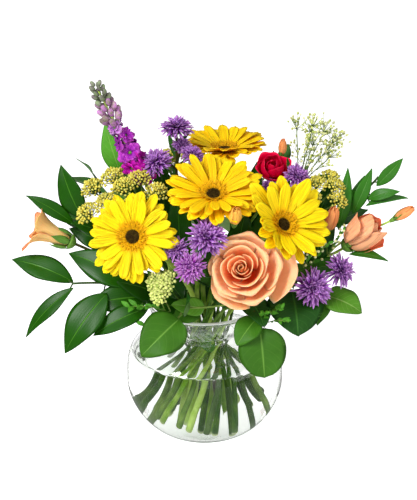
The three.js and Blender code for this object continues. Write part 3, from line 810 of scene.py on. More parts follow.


# Each `edge` colour below that is darker than white is painted shade: the dark outlines where glass or water
# is seen edge on.
# Where glass touches water, the glass bends light by the two bends' quotient, 1.5 / 1.33, and the
# water's own side hardly at all, so together they do what one boundary does.
GLASS = ClearFinish("vase_glass", "040806", 1.5, 0.68)
# The lip is half white, not clear: a painted highlight along the rim of the mouth.
LIP_HIGHLIGHT_GLASS = ClearFinish("lip_glass", "a4b0ac", 1.5, 0.8, roughness=0.1, clearness=0.5)
FOOT_GLASS = ClearFinish("foot_glass", "0c1410", 1.1, 0.62)
WET_GLASS = ClearFinish("wet_glass", "38483c", 1.128, 0.74)
WATER_SIDE = ClearFinish("water_side", "ffffff", 1.001, clear="fdfefc")
WATER = ClearFinish("vase_water", "d4dcd0", 1.33, 0.9, clear="fdfefc")

STEM_BRIGHT = SkinFinish("stem_bright", "a8c850", "c4dc78", pale_end=1.0)
STEM_MIDDLE = SkinFinish("stem_middle", "6a9426", "98b450", pale_end=1.0)
STEM_DARK = SkinFinish("stem_dark", "2e5212", "4a6c1c", pale_end=1.0)
STEM_BROWN = SkinFinish("stem_brown", "4c4420", "343a14", pale_end=1.0)
SEPAL = LeafFinish("sepal_green", "6c9c3a", "5b8a34", "88b050", veins=3.0)

YELLOW_RAY = PetalFinish("yellow_ray", "fab400", "fad600", "fbdf0c", "f0a400", streaks=0.34,
                         variation=0.16, root_length=0.5)
GOLD_RAY = PetalFinish("gold_ray", "ffb400", "ffd000", "ffd614", "ffbc08", streaks=0.32, variation=0.14,
                       root_length=0.5)
AMBER_RAY = PetalFinish("amber_ray", "f8ac00", "fecc00", "ffd80c", "f8a800", streaks=0.25, variation=0.16,
                        root_length=0.5)
YELLOW_FLORET = PetalFinish("yellow_floret", "e08c00", "f6b000", "fcc410", "e89400", streaks=0.2,
                            variation=0.2)
DISC_FLORET = SkinFinish("disc_floret", "33240c", "4a3a14", variation=0.9, scale=300.0, roughness=0.8)
DISC_RIM = SkinFinish("disc_rim", "6b5a14", "8a7420", variation=0.7, scale=300.0, roughness=0.8)

# The rose's petal roots are deeper orange than their blades: painted shade for the warm shadow down between
# the petals, deepest in the heart's rows.
ROSE_PETAL = PetalFinish("rose_petal", "fca472", "ffc694", "fcbe8e", "fcb884", streaks=0.04,
                         variation=0.06, root_length=0.6, rim_length=0.25, glow=0.45)
ROSE_HEART = PetalFinish("rose_heart_petal", "f65a18", "fdae74", "fdc08e", "fda870", streaks=0.04,
                         variation=0.06, root_length=0.8, rim_length=0.15, glow=0.4)
BUD_PETAL = PetalFinish("bud_petal", "f0b040", "f88a50", "f46a3c", "f9a060", streaks=0.25, variation=0.2,
                        root_length=0.5, glow=0.15)
GOLD_BUD_PETAL = PetalFinish("gold_bud_petal", "c8c050", "f8c048", "f8a048", "fcbc50", streaks=0.2,
                             variation=0.15, root_length=0.5, glow=0.2)
TRUMPET_PETAL = PetalFinish("trumpet_petal", "f8dc68", "fbb478", "f08a5c", "fcc47c", streaks=0.15,
                            root_length=0.75, glow=0.4)
CORAL_PETAL = PetalFinish("coral_petal", "f8dc90", "fca878", "f06a44", "fcae80", streaks=0.3,
                          variation=0.2, root_length=0.35, glow=0.3)
CRIMSON_PETAL = PetalFinish("crimson_petal", "b00028", "dc0038", "e80c48", "c80034", streaks=0.08,
                            variation=0.12, roughness=0.4)
MAGENTA_PETAL = PetalFinish("magenta_petal", "5c0c6c", "9420a0", "b848b8", "781888", streaks=0.3,
                            variation=0.5)
# The asters' near-black roots are painted shade deep in the double head; their pale rims are partly the tips'
# own colour, partly painted highlight.
LILAC_RAY = PetalFinish("lilac_ray", "1c0030", "7a2898", "d696e8", "4c1068", streaks=0.3, variation=0.5,
                        root_length=0.6, rim_length=0.4)
PINK_RAY = PetalFinish("pink_ray", "300038", "8c20a0", "dc90e4", "541064", streaks=0.3, variation=0.5,
                       root_length=0.6, rim_length=0.4)
ASTER_EYE = SkinFinish("aster_eye", "2e4a22", "4a3a5c", variation=0.5, scale=300.0)
FUCHSIA_PETAL = PetalFinish("fuchsia_petal", "7c0468", "b404a0", "cc20b4", "8c0c88", streaks=0.3,
                            variation=0.4)
LILAC_PETAL = PetalFinish("lilac_petal", "883c9c", "b068bc", "cc94d0", "9450a8", streaks=0.25,
                          variation=0.4)

GOLDEN_BUD = SkinFinish("golden_bud", "e0d058", "bcac38", variation=0.7, scale=400.0, roughness=0.7)
CREAM_BUD = SkinFinish("cream_bud", "e4e4b4", "c4cc7c", variation=0.5, scale=400.0, roughness=0.7)
LIME_BUD = SkinFinish("lime_bud", "d8dc88", "a0b454", variation=0.5, scale=400.0, roughness=0.6)
TWIG = SkinFinish("twig_green", "5c7a34", "7c9448", variation=0.3)
DARK_TWIG = SkinFinish("twig_dark", "3a5228", "4c6430", variation=0.3)
LILAC_BUD = SkinFinish("lilac_bud", "b478b4", "8c8470", variation=0.7, scale=220.0)
TIP_BUD = SkinFinish("tip_bud", "7c8c68", "70606c", variation=0.6, scale=220.0)
LIME_GOLD_BUD = SkinFinish("lime_gold_bud", "c8c860", "e0d468", variation=0.6, scale=400.0, roughness=0.7)

RUSCUS = LeafFinish("ruscus_leaf", "164800", "386c1c", "47801c", parallel=1.0, strength=0.14,
                    variation=0.3, roughness=0.34)
FRESH_RUSCUS = LeafFinish("fresh_ruscus_leaf", "2e6c16", "5c8c44", "649c48", parallel=1.0, strength=0.14,
                          variation=0.3, roughness=0.34)
ASTER_LEAF = LeafFinish("aster_leaf", "2a5c18", "4a7834", "4a8030", veins=4.0, roughness=0.5)
SPRIG_LEAF = LeafFinish("sprig_leaf", "4c9424", "6c9c44", "80b450", veins=7.0, roughness=0.45)
BROAD_LEAF = LeafFinish("broad_leaf", "366812", "6c9048", "6c9c3c", veins=6.0, strength=0.2,
                        roughness=0.5)
PALE_LEAF = LeafFinish("pale_leaf", "548c24", "84a458", "98bc64", veins=8.0, strength=0.4, roughness=0.45)
# The darkest leaf green; the three leaves inside the vase's mouth take it as painted shade.
DEEP_LEAF = LeafFinish("deep_leaf", "164408", "4a7030", "3a7024", veins=8.0, strength=0.35, roughness=0.5)


# ---------- The vase and the stems' paths ----------


@dataclass(frozen=True)
class Vase:
    """A squat round vase of clear glass, with a narrow neck and a flared mouth, and its water.

    The body's outline is a quarter of a superellipse from the foot to the belly, and another
    from the belly to the shoulder. Two cubic curves carry it through the neck to the lip. All
    their points are pairs of radius and height. The lip, the foot and the inside below the
    waterline have finishes of their own; the lip's is half white, a painted highlight.
    """

    foot: float = 44.0
    inner_foot: float = 38.0
    belly: Pair = (94.0, 64.0)
    shoulder: Pair = (50.0, 119.0)
    neck: tuple[Pair, ...] = ((38.5, 119.6), (37.0, 124.0), (41.0, 128.0))
    flare: tuple[Pair, ...] = ((47.0, 135.0), (62.0, 143.0), (67.2, 164.0))
    lip: Pair = (66.2, 165.0)
    lip_radius: float = 1.7
    wall: float = 3.0
    mouth_wall: float = 1.8
    foot_height: float = 14.0
    floor: float = 8.0
    lower_fullness: float = 1.68
    upper_fullness: float = 3.5
    waterline: float = 104.0
    meniscus: tuple[Pair, ...] = ((-0.9, 0.2), (-2.3, -0.6), (-5.0, -1.0), (-10.5, -1.1))
    overlap: float = 0.2
    collar_steps: int = 20
    sides: int = 128

    def inner_radius(self, height: float) -> float:
        """The radius of the inside at a height below the belly's."""
        low, wide = self.inner_foot, self.belly[0] - self.wall
        rise = (height - self.floor) / (self.belly[1] - self.floor)
        power = self.lower_fullness
        return low + (wide - low) * (1 - (1 - min(rise, 1.0)) ** power) ** (1 / power)

    def body(self, foot: Pair, inset: float) -> Array:
        """A body outline as points of radius and height, from its foot to the shoulder."""
        angle = np.linspace(0, np.pi / 2, 25)
        wide, middle = self.belly[0] - inset, self.belly[1]
        power = 2 / self.lower_fullness
        lower = np.stack([
            foot[0] + (wide - foot[0]) * np.sin(angle) ** power,
            foot[1] + (middle - foot[1]) * (1 - np.cos(angle) ** power),
        ], -1)
        power = 2 / self.upper_fullness
        top = self.shoulder[1] - inset
        narrow = self.shoulder[0] - 0.4 * inset
        upper = np.stack([
            wide - (wide - narrow) * (1 - np.maximum(np.cos(angle), 0) ** power),
            middle + (top - middle) * np.sin(angle) ** power,
        ], -1)
        return np.concatenate([lower, upper[1:]])

    def collar(self, inset: Array | float) -> Array:
        """The neck's and the mouth's outline, moved inwards by `inset`, one or one for each point."""
        share = np.linspace(0, 1, self.collar_steps)
        neck = bezier([self.shoulder, *self.neck], share)
        flare = bezier([self.neck[-1], *self.flare], share)
        line = np.concatenate([neck[1:], flare[1:]])
        tangent = unit(np.gradient(line, axis=0))
        return line - np.reshape(inset, (-1, 1)) * np.stack([tangent[:, 1], -tangent[:, 0]], -1)

    def turned(self, profile: Array, growth: Growth, finish: Finish) -> None:
        """Turns a profile about the vase's axis, from a point on the axis to another."""
        angle = TAU * np.arange(self.sides) / self.sides
        x = profile[1:-1, 0, None] * np.cos(angle)
        y = profile[1:-1, 0, None] * np.sin(angle)
        z = profile[1:-1, 1, None] * np.ones_like(angle)
        poles = [np.array([[0.0, 0.0, profile[k, 1]]]) for k in (0, -1)]
        growth.rings(np.stack([x, y, z], -1)[None], *poles, finish)

    def build(self) -> None:
        """Builds the glass and the water."""
        outside = np.concatenate([self.body((self.foot, 0.5), 0.0), self.collar(0.0)])
        thin = np.linspace(self.wall, self.mouth_wall, 2 * self.collar_steps - 2)
        inside = np.concatenate([self.body((self.inner_foot, self.floor), self.wall), self.collar(thin)])
        turn = np.radians(np.linspace(-30, 210, 11))
        lip = self.lip + self.lip_radius * np.stack([np.cos(turn), np.sin(turn)], -1)
        # The flat faces have a ring close to the axis, so that the fan at their pole stays small.
        base = np.array([[0, 0], [1, 0], [30, 0], [self.foot - 1.2, 0]])
        well = np.array([[24, self.floor], [1, self.floor], [0, self.floor]])
        glass = Growth("vase_glass_body")
        self.turned(np.concatenate([base, outside, lip, inside[::-1], well]), glass, GLASS)
        first = len(base) + len(outside) - 2
        low = len(base) - 2 + int(np.sum(outside[:, 1] < self.foot_height))
        wet = first + len(lip) + 1 + int(np.sum(inside[:, 1] > self.waterline))
        # The lip's half white finish is a painted highlight.
        glass.redress(slice(first * self.sides, (first + len(lip) + 1) * self.sides), LIP_HIGHLIGHT_GLASS)
        glass.redress(slice(0, low * self.sides), FOOT_GLASS)
        glass.redress(slice(wet * self.sides, None), WET_GLASS)
        glass.build("clear_glass", "vase")

        floor, level = self.floor - self.overlap, self.waterline + self.meniscus[-1][1]
        wall = self.body((self.inner_foot + self.overlap, floor), self.wall - self.overlap)
        wall = wall[wall[:, 1] < self.waterline]
        rim = np.array(self.meniscus) + [wall[-1, 0], self.waterline]
        under = np.array([[0, floor], [1, floor], [30, floor]])
        water = Growth("vase_water_body")
        self.turned(np.concatenate([under, wall, rim, [[20, level], [0, level]]]), water, WATER)
        water.redress(slice(0, (len(under) + len(wall) - 2) * self.sides), WATER_SIDE)
        water.build("water", "water")


VASE = Vase()


@dataclass(frozen=True)
class StemLine:
    """A stem's path: straight through the vase's neck, then one bend to where it ends.

    The stems twist round one another like the lines of a hyperboloid. Each goes through its own
    slot of a sunflower pattern at the waist, so no two of them meet. The cut end stands at least
    `clear` above the vase's floor.
    """

    slot: int
    radius: float
    end: Point
    facing: Point
    spacing: float = 5.4
    twist: float = 0.0224
    waist: float = 118.0
    bend: float = 150.0
    clear: float = 9.0
    parts: int = 7

    def ray(self, height: float) -> Array:
        """The straight part's point at a height."""
        reach = self.spacing * np.sqrt(self.slot + 0.5)
        angle = self.slot * GOLDEN_ANGLE
        lean = self.twist * (height - self.waist)
        x = reach * (np.cos(angle) - lean * np.sin(angle))
        y = reach * (np.sin(angle) + lean * np.cos(angle))
        return np.array([x, y, height])

    def controls(self) -> tuple[Array, list[Array]]:
        """The cut end, and the four points of the cubic curve above the vase."""
        cut = VASE.floor + self.clear + self.radius + 5.0 * (self.slot % 4)
        while np.hypot(*self.ray(cut)[:2]) + self.radius + 2 > VASE.inner_radius(cut):
            cut += 1.0
        foot, bend, end = self.ray(cut), self.ray(self.bend), np.array(self.end)
        reach = 0.38 * np.linalg.norm(end - bend)
        before = bend + reach * unit(bend - foot)
        return foot, [bend, before, end - reach * np.array(self.facing), end]

    def path(self, share: Array) -> Array:
        """Points along the stem; the first of the equal `parts` of the shares is the straight one."""
        foot, curve = self.controls()
        step = self.parts * np.asarray(share, float)
        straight = foot + np.clip(step, 0, 1)[..., None] * (curve[0] - foot)
        return np.where(step[..., None] < 1, straight, bezier(curve, (step - 1) / (self.parts - 1)))

    def nearest(self, place: Point) -> Array:
        """The stem's point above the vase that is nearest to a place."""
        points = self.path(np.linspace(1 / self.parts, 1, 60))
        return points[np.argmin(np.linalg.norm(points - np.array(place), axis=-1))]

    def draw(self, growth: Growth, finish: Finish, taper: float = 1.0) -> None:
        """Adds the stem to a piece, cut on a slant at its foot."""
        straight = 1 / self.parts
        share = np.concatenate([np.linspace(0, 0.94 * straight, 14), np.linspace(straight, 1, 34)])
        flared = 0.9 * np.clip(1 - share / straight, 0, 1) ** 1.5
        radius = self.radius * (1 + (taper - 1) * share + flared)
        radius = radius * (1 + 0.03 * np.sin(31 * share + self.slot))
        growth.tubes(self.path(share), radius, finish, 14, slant=0.9)


def side_stalk(start: Array, end: Array, steps: int = 8) -> Array:
    """A stalk's path that leaves upwards from its start and bends over to its end."""
    rise = np.array([0.0, 0.0, 0.22 * np.linalg.norm(end - start)])
    share = np.linspace(0, 1, steps)
    return bezier([start, start + 0.3 * (end - start) + rise, end - 0.3 * (end - start), end], share)


def bowed(start: Array | Point, end: Array | Point, bow: float = 0.12, steps: int = 8) -> Array:
    """A path between points that bows upwards by a share of its length."""
    start, end = np.array(start, float), np.array(end, float)
    lift = np.array([0.0, 0.0, bow * np.linalg.norm(end - start)])
    share = np.linspace(0, 1, steps)
    return bezier([start, start + (end - start) / 3 + lift, end - (end - start) / 3 + lift, end], share)


# ---------- Small parts that several flowers share ----------


def hang(growth: Growth, line: StemLine, leaf: Leaf, stalk: float) -> None:
    """Adds a leaf, and the stalk of that radius that joins it to its stem."""
    growth.tubes(bowed(line.nearest(leaf.base), leaf.base), stalk, TWIG, 6)
    growth.sheets(leaf.sheet(growth.rng), 0.5, SPRIG_LEAF)


# Outlines of small turned bodies, as shares of radius and height.
CUP = ((0, 0), (0.27, 0.05), (0.6, 0.25), (0.85, 0.6), (1, 0.94), (0.9, 1.0), (0, 0.98))
BEAD = ((0, 0), (0.75, 0.18), (1.0, 0.6), (0, 1))
PEARL = ((0, 0), (0.7, 0.12), (1.0, 0.45), (0.75, 0.85), (0, 1))
BUTTON = ((0, 0), (0.9, 0.05), (1.0, 0.35), (0.8, 0.75), (0.4, 0.97), (0, 1))


def green_cup(stem: Growth, head: Stand, back: float, radius: float, length: float,
              sides: int) -> None:
    """Adds the green cup that a head sits in, with its foot that far behind the head."""
    stem.beads(head.along(-back)[None], head.facing[None], radius, length, SEPAL, CUP, sides)


def sunflower(count: int, reach: float) -> tuple[Array, Array, Array]:
    """Points spread evenly over a disc.

    Args:
        count: how many.
        reach: the disc's radius.

    Returns:
        Their x, y and their share of the disc's radius.
    """
    number = np.arange(count)
    share = np.sqrt((number + 0.5) / count)
    return reach * share * np.cos(number * GOLDEN_ANGLE), reach * share * np.sin(number * GOLDEN_ANGLE), share


@dataclass(frozen=True)
class Dome:
    """Many small buds spread over a dome, each on its own thin stalk.

    `length` is a bud's length as a share of its width, and `ragged` scatters the buds.
    """

    radius: float
    count: int
    bud: float
    squash: float = 0.7
    length: float = 1.3
    ragged: float = 0.1

    def grow(self, growth: Growth, stand: Stand, buds: Sequence[Finish], stalk: Finish) -> None:
        """Adds the dome about a head's middle.

        Args:
            growth: the piece.
            stand: the head's middle and the way it faces.
            buds: the materials, which take turns from bud to bud.
            stalk: the thin stalks' material.
        """
        x, y, share = sunflower(self.count, self.radius)
        height = self.squash * self.radius * (1.6 * np.sqrt(1 - 0.9 * share**2) - 0.9)
        jitter = growth.rng.normal(0, self.ragged * self.radius / 3, (self.count, 3))
        local = np.stack([x, y, height], -1) + jitter
        centres = stand.place(local)
        root = stand.along(-self.squash * self.radius)
        axes = unit(centres - stand.along(-1.2 * self.radius))
        size = self.bud * growth.rng.uniform(0.75, 1.2, self.count)
        for number, finish in enumerate(buds):
            pick = slice(number, None, len(buds))
            growth.beads(centres[pick], axes[pick], size[pick], 2 * self.length * size[pick], finish, BEAD, 5)
        steps = np.linspace(0, 1, 3)[:, None]
        stalks = root + steps * (centres[:, None] + 0.2 * axes[:, None] - root)
        growth.tubes(stalks, 0.28, stalk, 3)


# ---------- Flowers ----------


@dataclass(frozen=True)
class Gerbera:
    """A gerbera: rings of petals about short florets and a dark disc, on a bare stem."""

    name: str
    slot: int
    head: Stand
    rays: tuple[RayRow, ...]
    florets: tuple[RayRow, ...]
    ray: PetalFinish
    petals_slot: str
    stem: SkinFinish
    disc_radius: float = 8.2
    disc_florets: int = 210
    dark_share: float = 0.62

    def build(self) -> None:
        """Builds the stem with its green cup, the petals and the disc."""
        face = self.head.facing
        line = StemLine(self.slot, 3.0, tuple(self.head.along(-12)), tuple(face))
        stem = Growth(f"{self.name}_stem_green")
        line.draw(stem, self.stem, 0.9)
        green_cup(stem, self.head, 16, 10.5, 14.2, 28)
        for number, (foot, turn) in enumerate(((-12.5, 0.0), (-9.5, 0.5))):
            bracts = RayRow(20, 5.5 + 2 * number, 11.0, 3.6, (68, 38), foot, turn, peak=0.4,
                            fall=0.85, rounding=0.35, notch=0.0, rows=6, columns=5)
            stem.petals([bracts], 0.7, SEPAL, self.head)
        stem.build("green_stems", f"{self.name}_stem")

        rays = Growth(f"{self.name}_petals")
        rays.petals(self.rays, 0.9, self.ray, self.head)
        rays.petals(self.florets, 0.5, YELLOW_FLORET, self.head)
        rays.build(self.petals_slot, f"{self.name}_rays")

        disc = Growth(f"{self.name}_disc_florets")
        disc.beads(self.head.along(-1)[None], face[None], self.disc_radius + 0.8, 4.2, DISC_FLORET,
                   BUTTON, 28)
        x, y, share = sunflower(self.disc_florets, self.disc_radius)
        centres = self.head.place(np.stack([x, y, 2.6 - 1.9 * share**2], -1))
        centres = centres + disc.rng.normal(0, 0.12, centres.shape)
        axes = unit(centres - self.head.along(-9))
        inner = int(self.dark_share * self.disc_florets)
        for part, finish, size in ((slice(0, inner), DISC_FLORET, 0.5), (slice(inner, None), DISC_RIM, 0.55)):
            lengths = disc.rng.uniform(1.6, 2.9, len(centres[part]))
            disc.beads(centres[part], axes[part], size, lengths, finish, BEAD, 5)
        disc.build("dark_disc", f"{self.name}_disc")


@dataclass(frozen=True)
class Rose:
    """An open rose: rows of wide petals that wrap round a tight heart, on a leafy stem."""

    head: Stand = Stand((42, -100, 247), -10, 32)
    slot: int = 7
    heart: tuple[CupRow, ...] = (
        CupRow(2, ((0.8, -14), (4, -6), (3.4, 8), (2.8, 19.0)), 250, 0.0, 1.4, wave=0.3),
        CupRow(3, ((2, -16), (8, -8), (5.5, 13), (7.4, 20.0)), 168, 0.35, 2.0, wave=0.4),
        CupRow(3, ((2.5, -17), (13, -10), (10.0, 14), (13.6, 19.8)), 158, 0.1, 2.8, wave=0.5),
        CupRow(3, ((4, -20), (21, -12), (16, 13), (23.0, 17.4)), 152, 0.66, 3.4, wave=0.9),
        CupRow(4, ((5, -21), (28, -12), (24, 17), (32.0, 12.4)), 116, 0.3, 3.0, wave=1.3, point=0.05),
    )
    outer: tuple[CupRow, ...] = (
        CupRow(5, ((7, -26), (34, -20), (33, 12), (39.0, 5.5)), 92, 0.12, 2.6, wave=1.4, point=0.08),
        CupRow(1, ((8, -30), (42, -34), (45, -10), (56, -5)), 100, 0.02, 3.0, wave=1.6, point=0.12),
        CupRow(1, ((8, -30), (38, -30), (38, -4), (46, -4)), 96, 0.66, 3.0, wave=1.6, point=0.12),
    )
    deep_rows: int = 4
    lean: float = 2.5

    def build(self) -> None:
        """Builds the stem with its hip and sepals, both parts of the bloom and the leaves."""
        line = StemLine(self.slot, 3.0, tuple(self.head.along(-40)), tuple(self.head.facing))
        stem = Growth("rose_stem_green")
        line.draw(stem, STEM_DARK, 0.9)
        green_cup(stem, self.head, 50, 10.5, 15.0, 20)
        sepals = RayRow(5, 7.0, 24.0, 9.0, (40, -12), -36.5, 0.2, peak=0.35, fall=0.95,
                        rounding=0.4, notch=0.0)
        stem.petals([sepals], 0.6, SEPAL, self.head)
        stem.build("green_stems", "rose_stem")
        parts = (
            ("rose_heart_bloom", self.heart, "rose_heart", "rose_inner_petals"),
            ("rose_outer_bloom", self.outer, "peach_petals", "rose_outer_petals"),
        )
        for name, rows, slot, node in parts:
            bloom = Growth(name)
            for number, row in enumerate(rows):
                inner = slot == "rose_heart"
                # The heart's inner rows take the deep orange root: painted shade in their recesses.
                finish = ROSE_HEART if inner and number < self.deep_rows else ROSE_PETAL
                middle = row.sheets(bloom.rng) + [0 if inner else self.lean, 0, 0]
                bloom.sheets(middle, 0.7, finish, self.head)
            bloom.build(slot, node)
        spray = Growth("rose_leaf_spray")
        leaves = (
            Leaf((51, -75, 200), (66, -112, 184), 34, (20, 50), outline=Outline.OVATE),
            Leaf((-16, -88, 196), (-15, -118, 221), 30, (0, 40), outline=Outline.OVATE),
        )
        for leaf in leaves:
            spray.sheets(leaf.sheet(spray.rng), 0.6, DEEP_LEAF)
        spray.tubes(bowed(leaves[0].base, leaves[1].base, -0.05), 1.1, TWIG, 8)
        spray.build("broad_leaves", "rose_leaves")


class Bloom(Enum):
    """How far a small flower is open, as rows shaped in shares of its radius and length."""

    BUD = (
        CupRow(3, ((0.1, 0.0), (0.85, 0.2), (0.75, 0.7), (0.05, 0.97)), 170, spiral=0.16, rounding=0.1,
               point=0.05, wave=0.02, rows=12, columns=11),
        CupRow(5, ((0.2, 0.0), (1.15, 0.12), (1.0, 0.6), (0.5, 0.9)), 120, 0.4, 0.12, rounding=0.22,
               point=0.08, wave=0.04, rows=12, columns=11),
    )
    TRUMPET = (
        CupRow(3, ((0.12, 0.05), (0.4, 0.3), (0.3, 0.8), (0.75, 0.98)), 150, 0.0, 0.1, wave=0.05,
               point=0.1, rows=16, columns=13),
        CupRow(3, ((0.2, 0.0), (0.55, 0.2), (0.4, 0.85), (1.25, 1.02)), 150, 0.5, 0.1, rounding=0.3,
               point=0.14, wave=0.08, rows=16, columns=13),
    )
    CUP = (
        CupRow(3, ((0.1, 0.02), (0.7, 0.2), (0.7, 0.75), (0.35, 0.95)), 150, 0.3, 0.1, wave=0.05,
               rounding=0.3, rows=16, columns=13),
        CupRow(3, ((0.2, 0.0), (1.15, 0.06), (0.95, 0.75), (0.75, 0.98)), 135, 0.0, 0.1, wave=0.06,
               rounding=0.32, point=0.04, rows=16, columns=13),
        CupRow(2, ((0.25, -0.02), (1.2, 0.05), (1.0, 0.5), (1.35, 0.72)), 105, 0.6, 0.08, wave=0.07,
               rounding=0.32, rows=16, columns=13),
    )
    SATIN = (
        CupRow(3, ((0.05, 0.1), (0.5, 0.2), (0.5, 0.8), (0.2, 1.0)), 160, 0.0, 0.1, wave=0.05,
               rounding=0.3),
        CupRow(3, ((0.1, 0.05), (0.95, 0.1), (0.8, 0.75), (0.6, 1.02)), 150, 0.5, 0.12, wave=0.06,
               rounding=0.34, point=0.05),
        CupRow(4, ((0.2, 0.0), (1.1, 0.0), (0.9, 0.5), (1.2, 0.7)), 120, 0.1, 0.12, wave=0.08,
               rounding=0.34, point=0.06),
    )


@dataclass(frozen=True)
class SmallBloom:
    """A spray rose, a bud or a carnation; its calyx is sized as a share of its radius."""

    name: str
    head: Stand
    radius: float
    length: float
    form: Bloom
    finish: PetalFinish
    slot: str = "peach_petals"
    calyx: float = 0.5

    def calyx_on(self, stem: Growth) -> None:
        """Adds the green calyx and its sepals to the stem's piece."""
        width = self.calyx * self.radius
        green_cup(stem, self.head, 9, width, 8.2, 14)
        sepals = RayRow(5, 0.9 * width, 0.55 * self.length, 0.8 * width + 1.2, (72, 84), -1.6, 0.3,
                        peak=0.3, fall=0.95, rounding=0.4, notch=0.0, rows=8, columns=5)
        stem.petals([sepals], 0.5, SEPAL, self.head)

    def build(self) -> None:
        """Builds the petals."""
        bloom = Growth(f"{self.name}_petals")
        rows = [row.scaled(self.radius, self.length) for row in self.form.value]
        bloom.petals(rows, 0.5, self.finish, self.head)
        bloom.build(self.slot, self.name)


@dataclass(frozen=True)
class Aster:
    """A double aster: rings of narrow petals about a small dark eye."""

    name: str
    head: Stand
    radius: float
    finish: PetalFinish = LILAC_RAY
    calyx: float = 0.35

    def calyx_on(self, stem: Growth) -> None:
        """Adds the green cup under the petals to the stem's piece."""
        size = self.calyx * self.radius
        green_cup(stem, self.head, 9, size, 8.4, 14)
        bracts = RayRow(12, 0.8 * size, 0.5 * self.radius, 1.8, (50, 5), -2.5, peak=0.4, fall=0.9,
                        notch=0.0, rows=5, columns=5)
        stem.petals([bracts], 0.5, SEPAL, self.head)

    def build(self) -> None:
        """Builds the petals and the eye."""
        r = self.radius
        bloom = Growth(f"{self.name}_petals")
        shapes = (
            (40, 0.12, 0.96, (14, -14), 0.0), (36, 0.1, 0.9, (30, -2), 0.5),
            (32, 0.08, 0.78, (46, 12), 0.2), (26, 0.07, 0.64, (62, 28), 0.7),
            (18, 0.05, 0.48, (76, 46), 0.1), (10, 0.03, 0.32, (88, 66), 0.6),
        )
        for number, (count, start, length, rise, turn) in enumerate(shapes):
            row = RayRow(count, start * r, length * r, 0.1 * r + 0.7, rise, (0.04 * number - 0.02) * r,
                         turn, loose=0.09, sway=0.12, channel=0.35, notch=0.02, rounding=0.25,
                         root=0.45, peak=0.6, rows=8, columns=5)
            bloom.petals([row], 0.35, self.finish, self.head)
        x, y, _ = sunflower(16, 0.1 * r)
        centres = self.head.place(np.stack([x, y, 0 * x + 0.05 * r], -1))
        bloom.beads(centres, np.tile(self.head.facing, (16, 1)), 0.05 * r, 0.16 * r, ASTER_EYE, BEAD, 5)
        bloom.build("purple_petals", self.name)


@dataclass(frozen=True)
class Spray:
    """A forked stem with several small flowers, each on its own stalk.

    The stalks leave the stem at its share `fork`. `foliage` is the number, length and width of
    the narrow leaves that climb it.
    """

    name: str
    slot: int
    radius: float
    fork: float
    blooms: tuple[SmallBloom | Aster, ...]
    stem: SkinFinish = STEM_MIDDLE
    leaves: tuple[Leaf, ...] = ()
    stalk: float = 1.3
    foliage: tuple[int, float, float] = (0, 30.0, 7.0)

    def climb(self, growth: Growth, line: StemLine) -> None:
        """Adds the foliage, a number of leaves of one length and width, up the stem in a spiral."""
        count, length, width = self.foliage
        share = np.linspace(0.42, 0.95, count)
        foot = line.path(share)
        way = unit(line.path(share + 0.01) - foot)
        right, up = cross_axes(way)
        angle = (np.arange(count) * GOLDEN_ANGLE + line.slot)[:, None]
        away = right * np.cos(angle) + up * np.sin(angle)
        size = length * growth.rng.uniform(0.75, 1.1, (count, 1))
        tips = foot + size * unit(away + 0.9 * way)
        for place, tip, upward in zip(foot, tips, way):
            face = Stand.towards(place, upward)
            leaf = Leaf(tuple(place), tuple(tip), width, (face.azimuth, face.elevation), -0.06,
                        Outline.NARROW, 0.3)
            growth.sheets(leaf.sheet(growth.rng, 12, 7), 0.4, ASTER_LEAF)

    def build(self) -> None:
        """Builds the stem with its stalks, calyxes and leaves, then every bloom."""
        first = self.blooms[0].head
        line = StemLine(self.slot, self.radius, first.at, tuple(first.facing))
        stem = Growth(f"{self.name}_green")
        line.draw(stem, self.stem, 0.8)
        start = line.path(np.array(self.fork))
        for bloom in self.blooms[1:]:
            stem.tubes(side_stalk(start, bloom.head.along(-5)), self.stalk, self.stem, 8)
        for bloom in self.blooms:
            bloom.calyx_on(stem)
        self.climb(stem, line)
        for leaf in self.leaves:
            hang(stem, line, leaf, 0.8)
        stem.build("green_stems", self.name)
        for bloom in self.blooms:
            bloom.build()


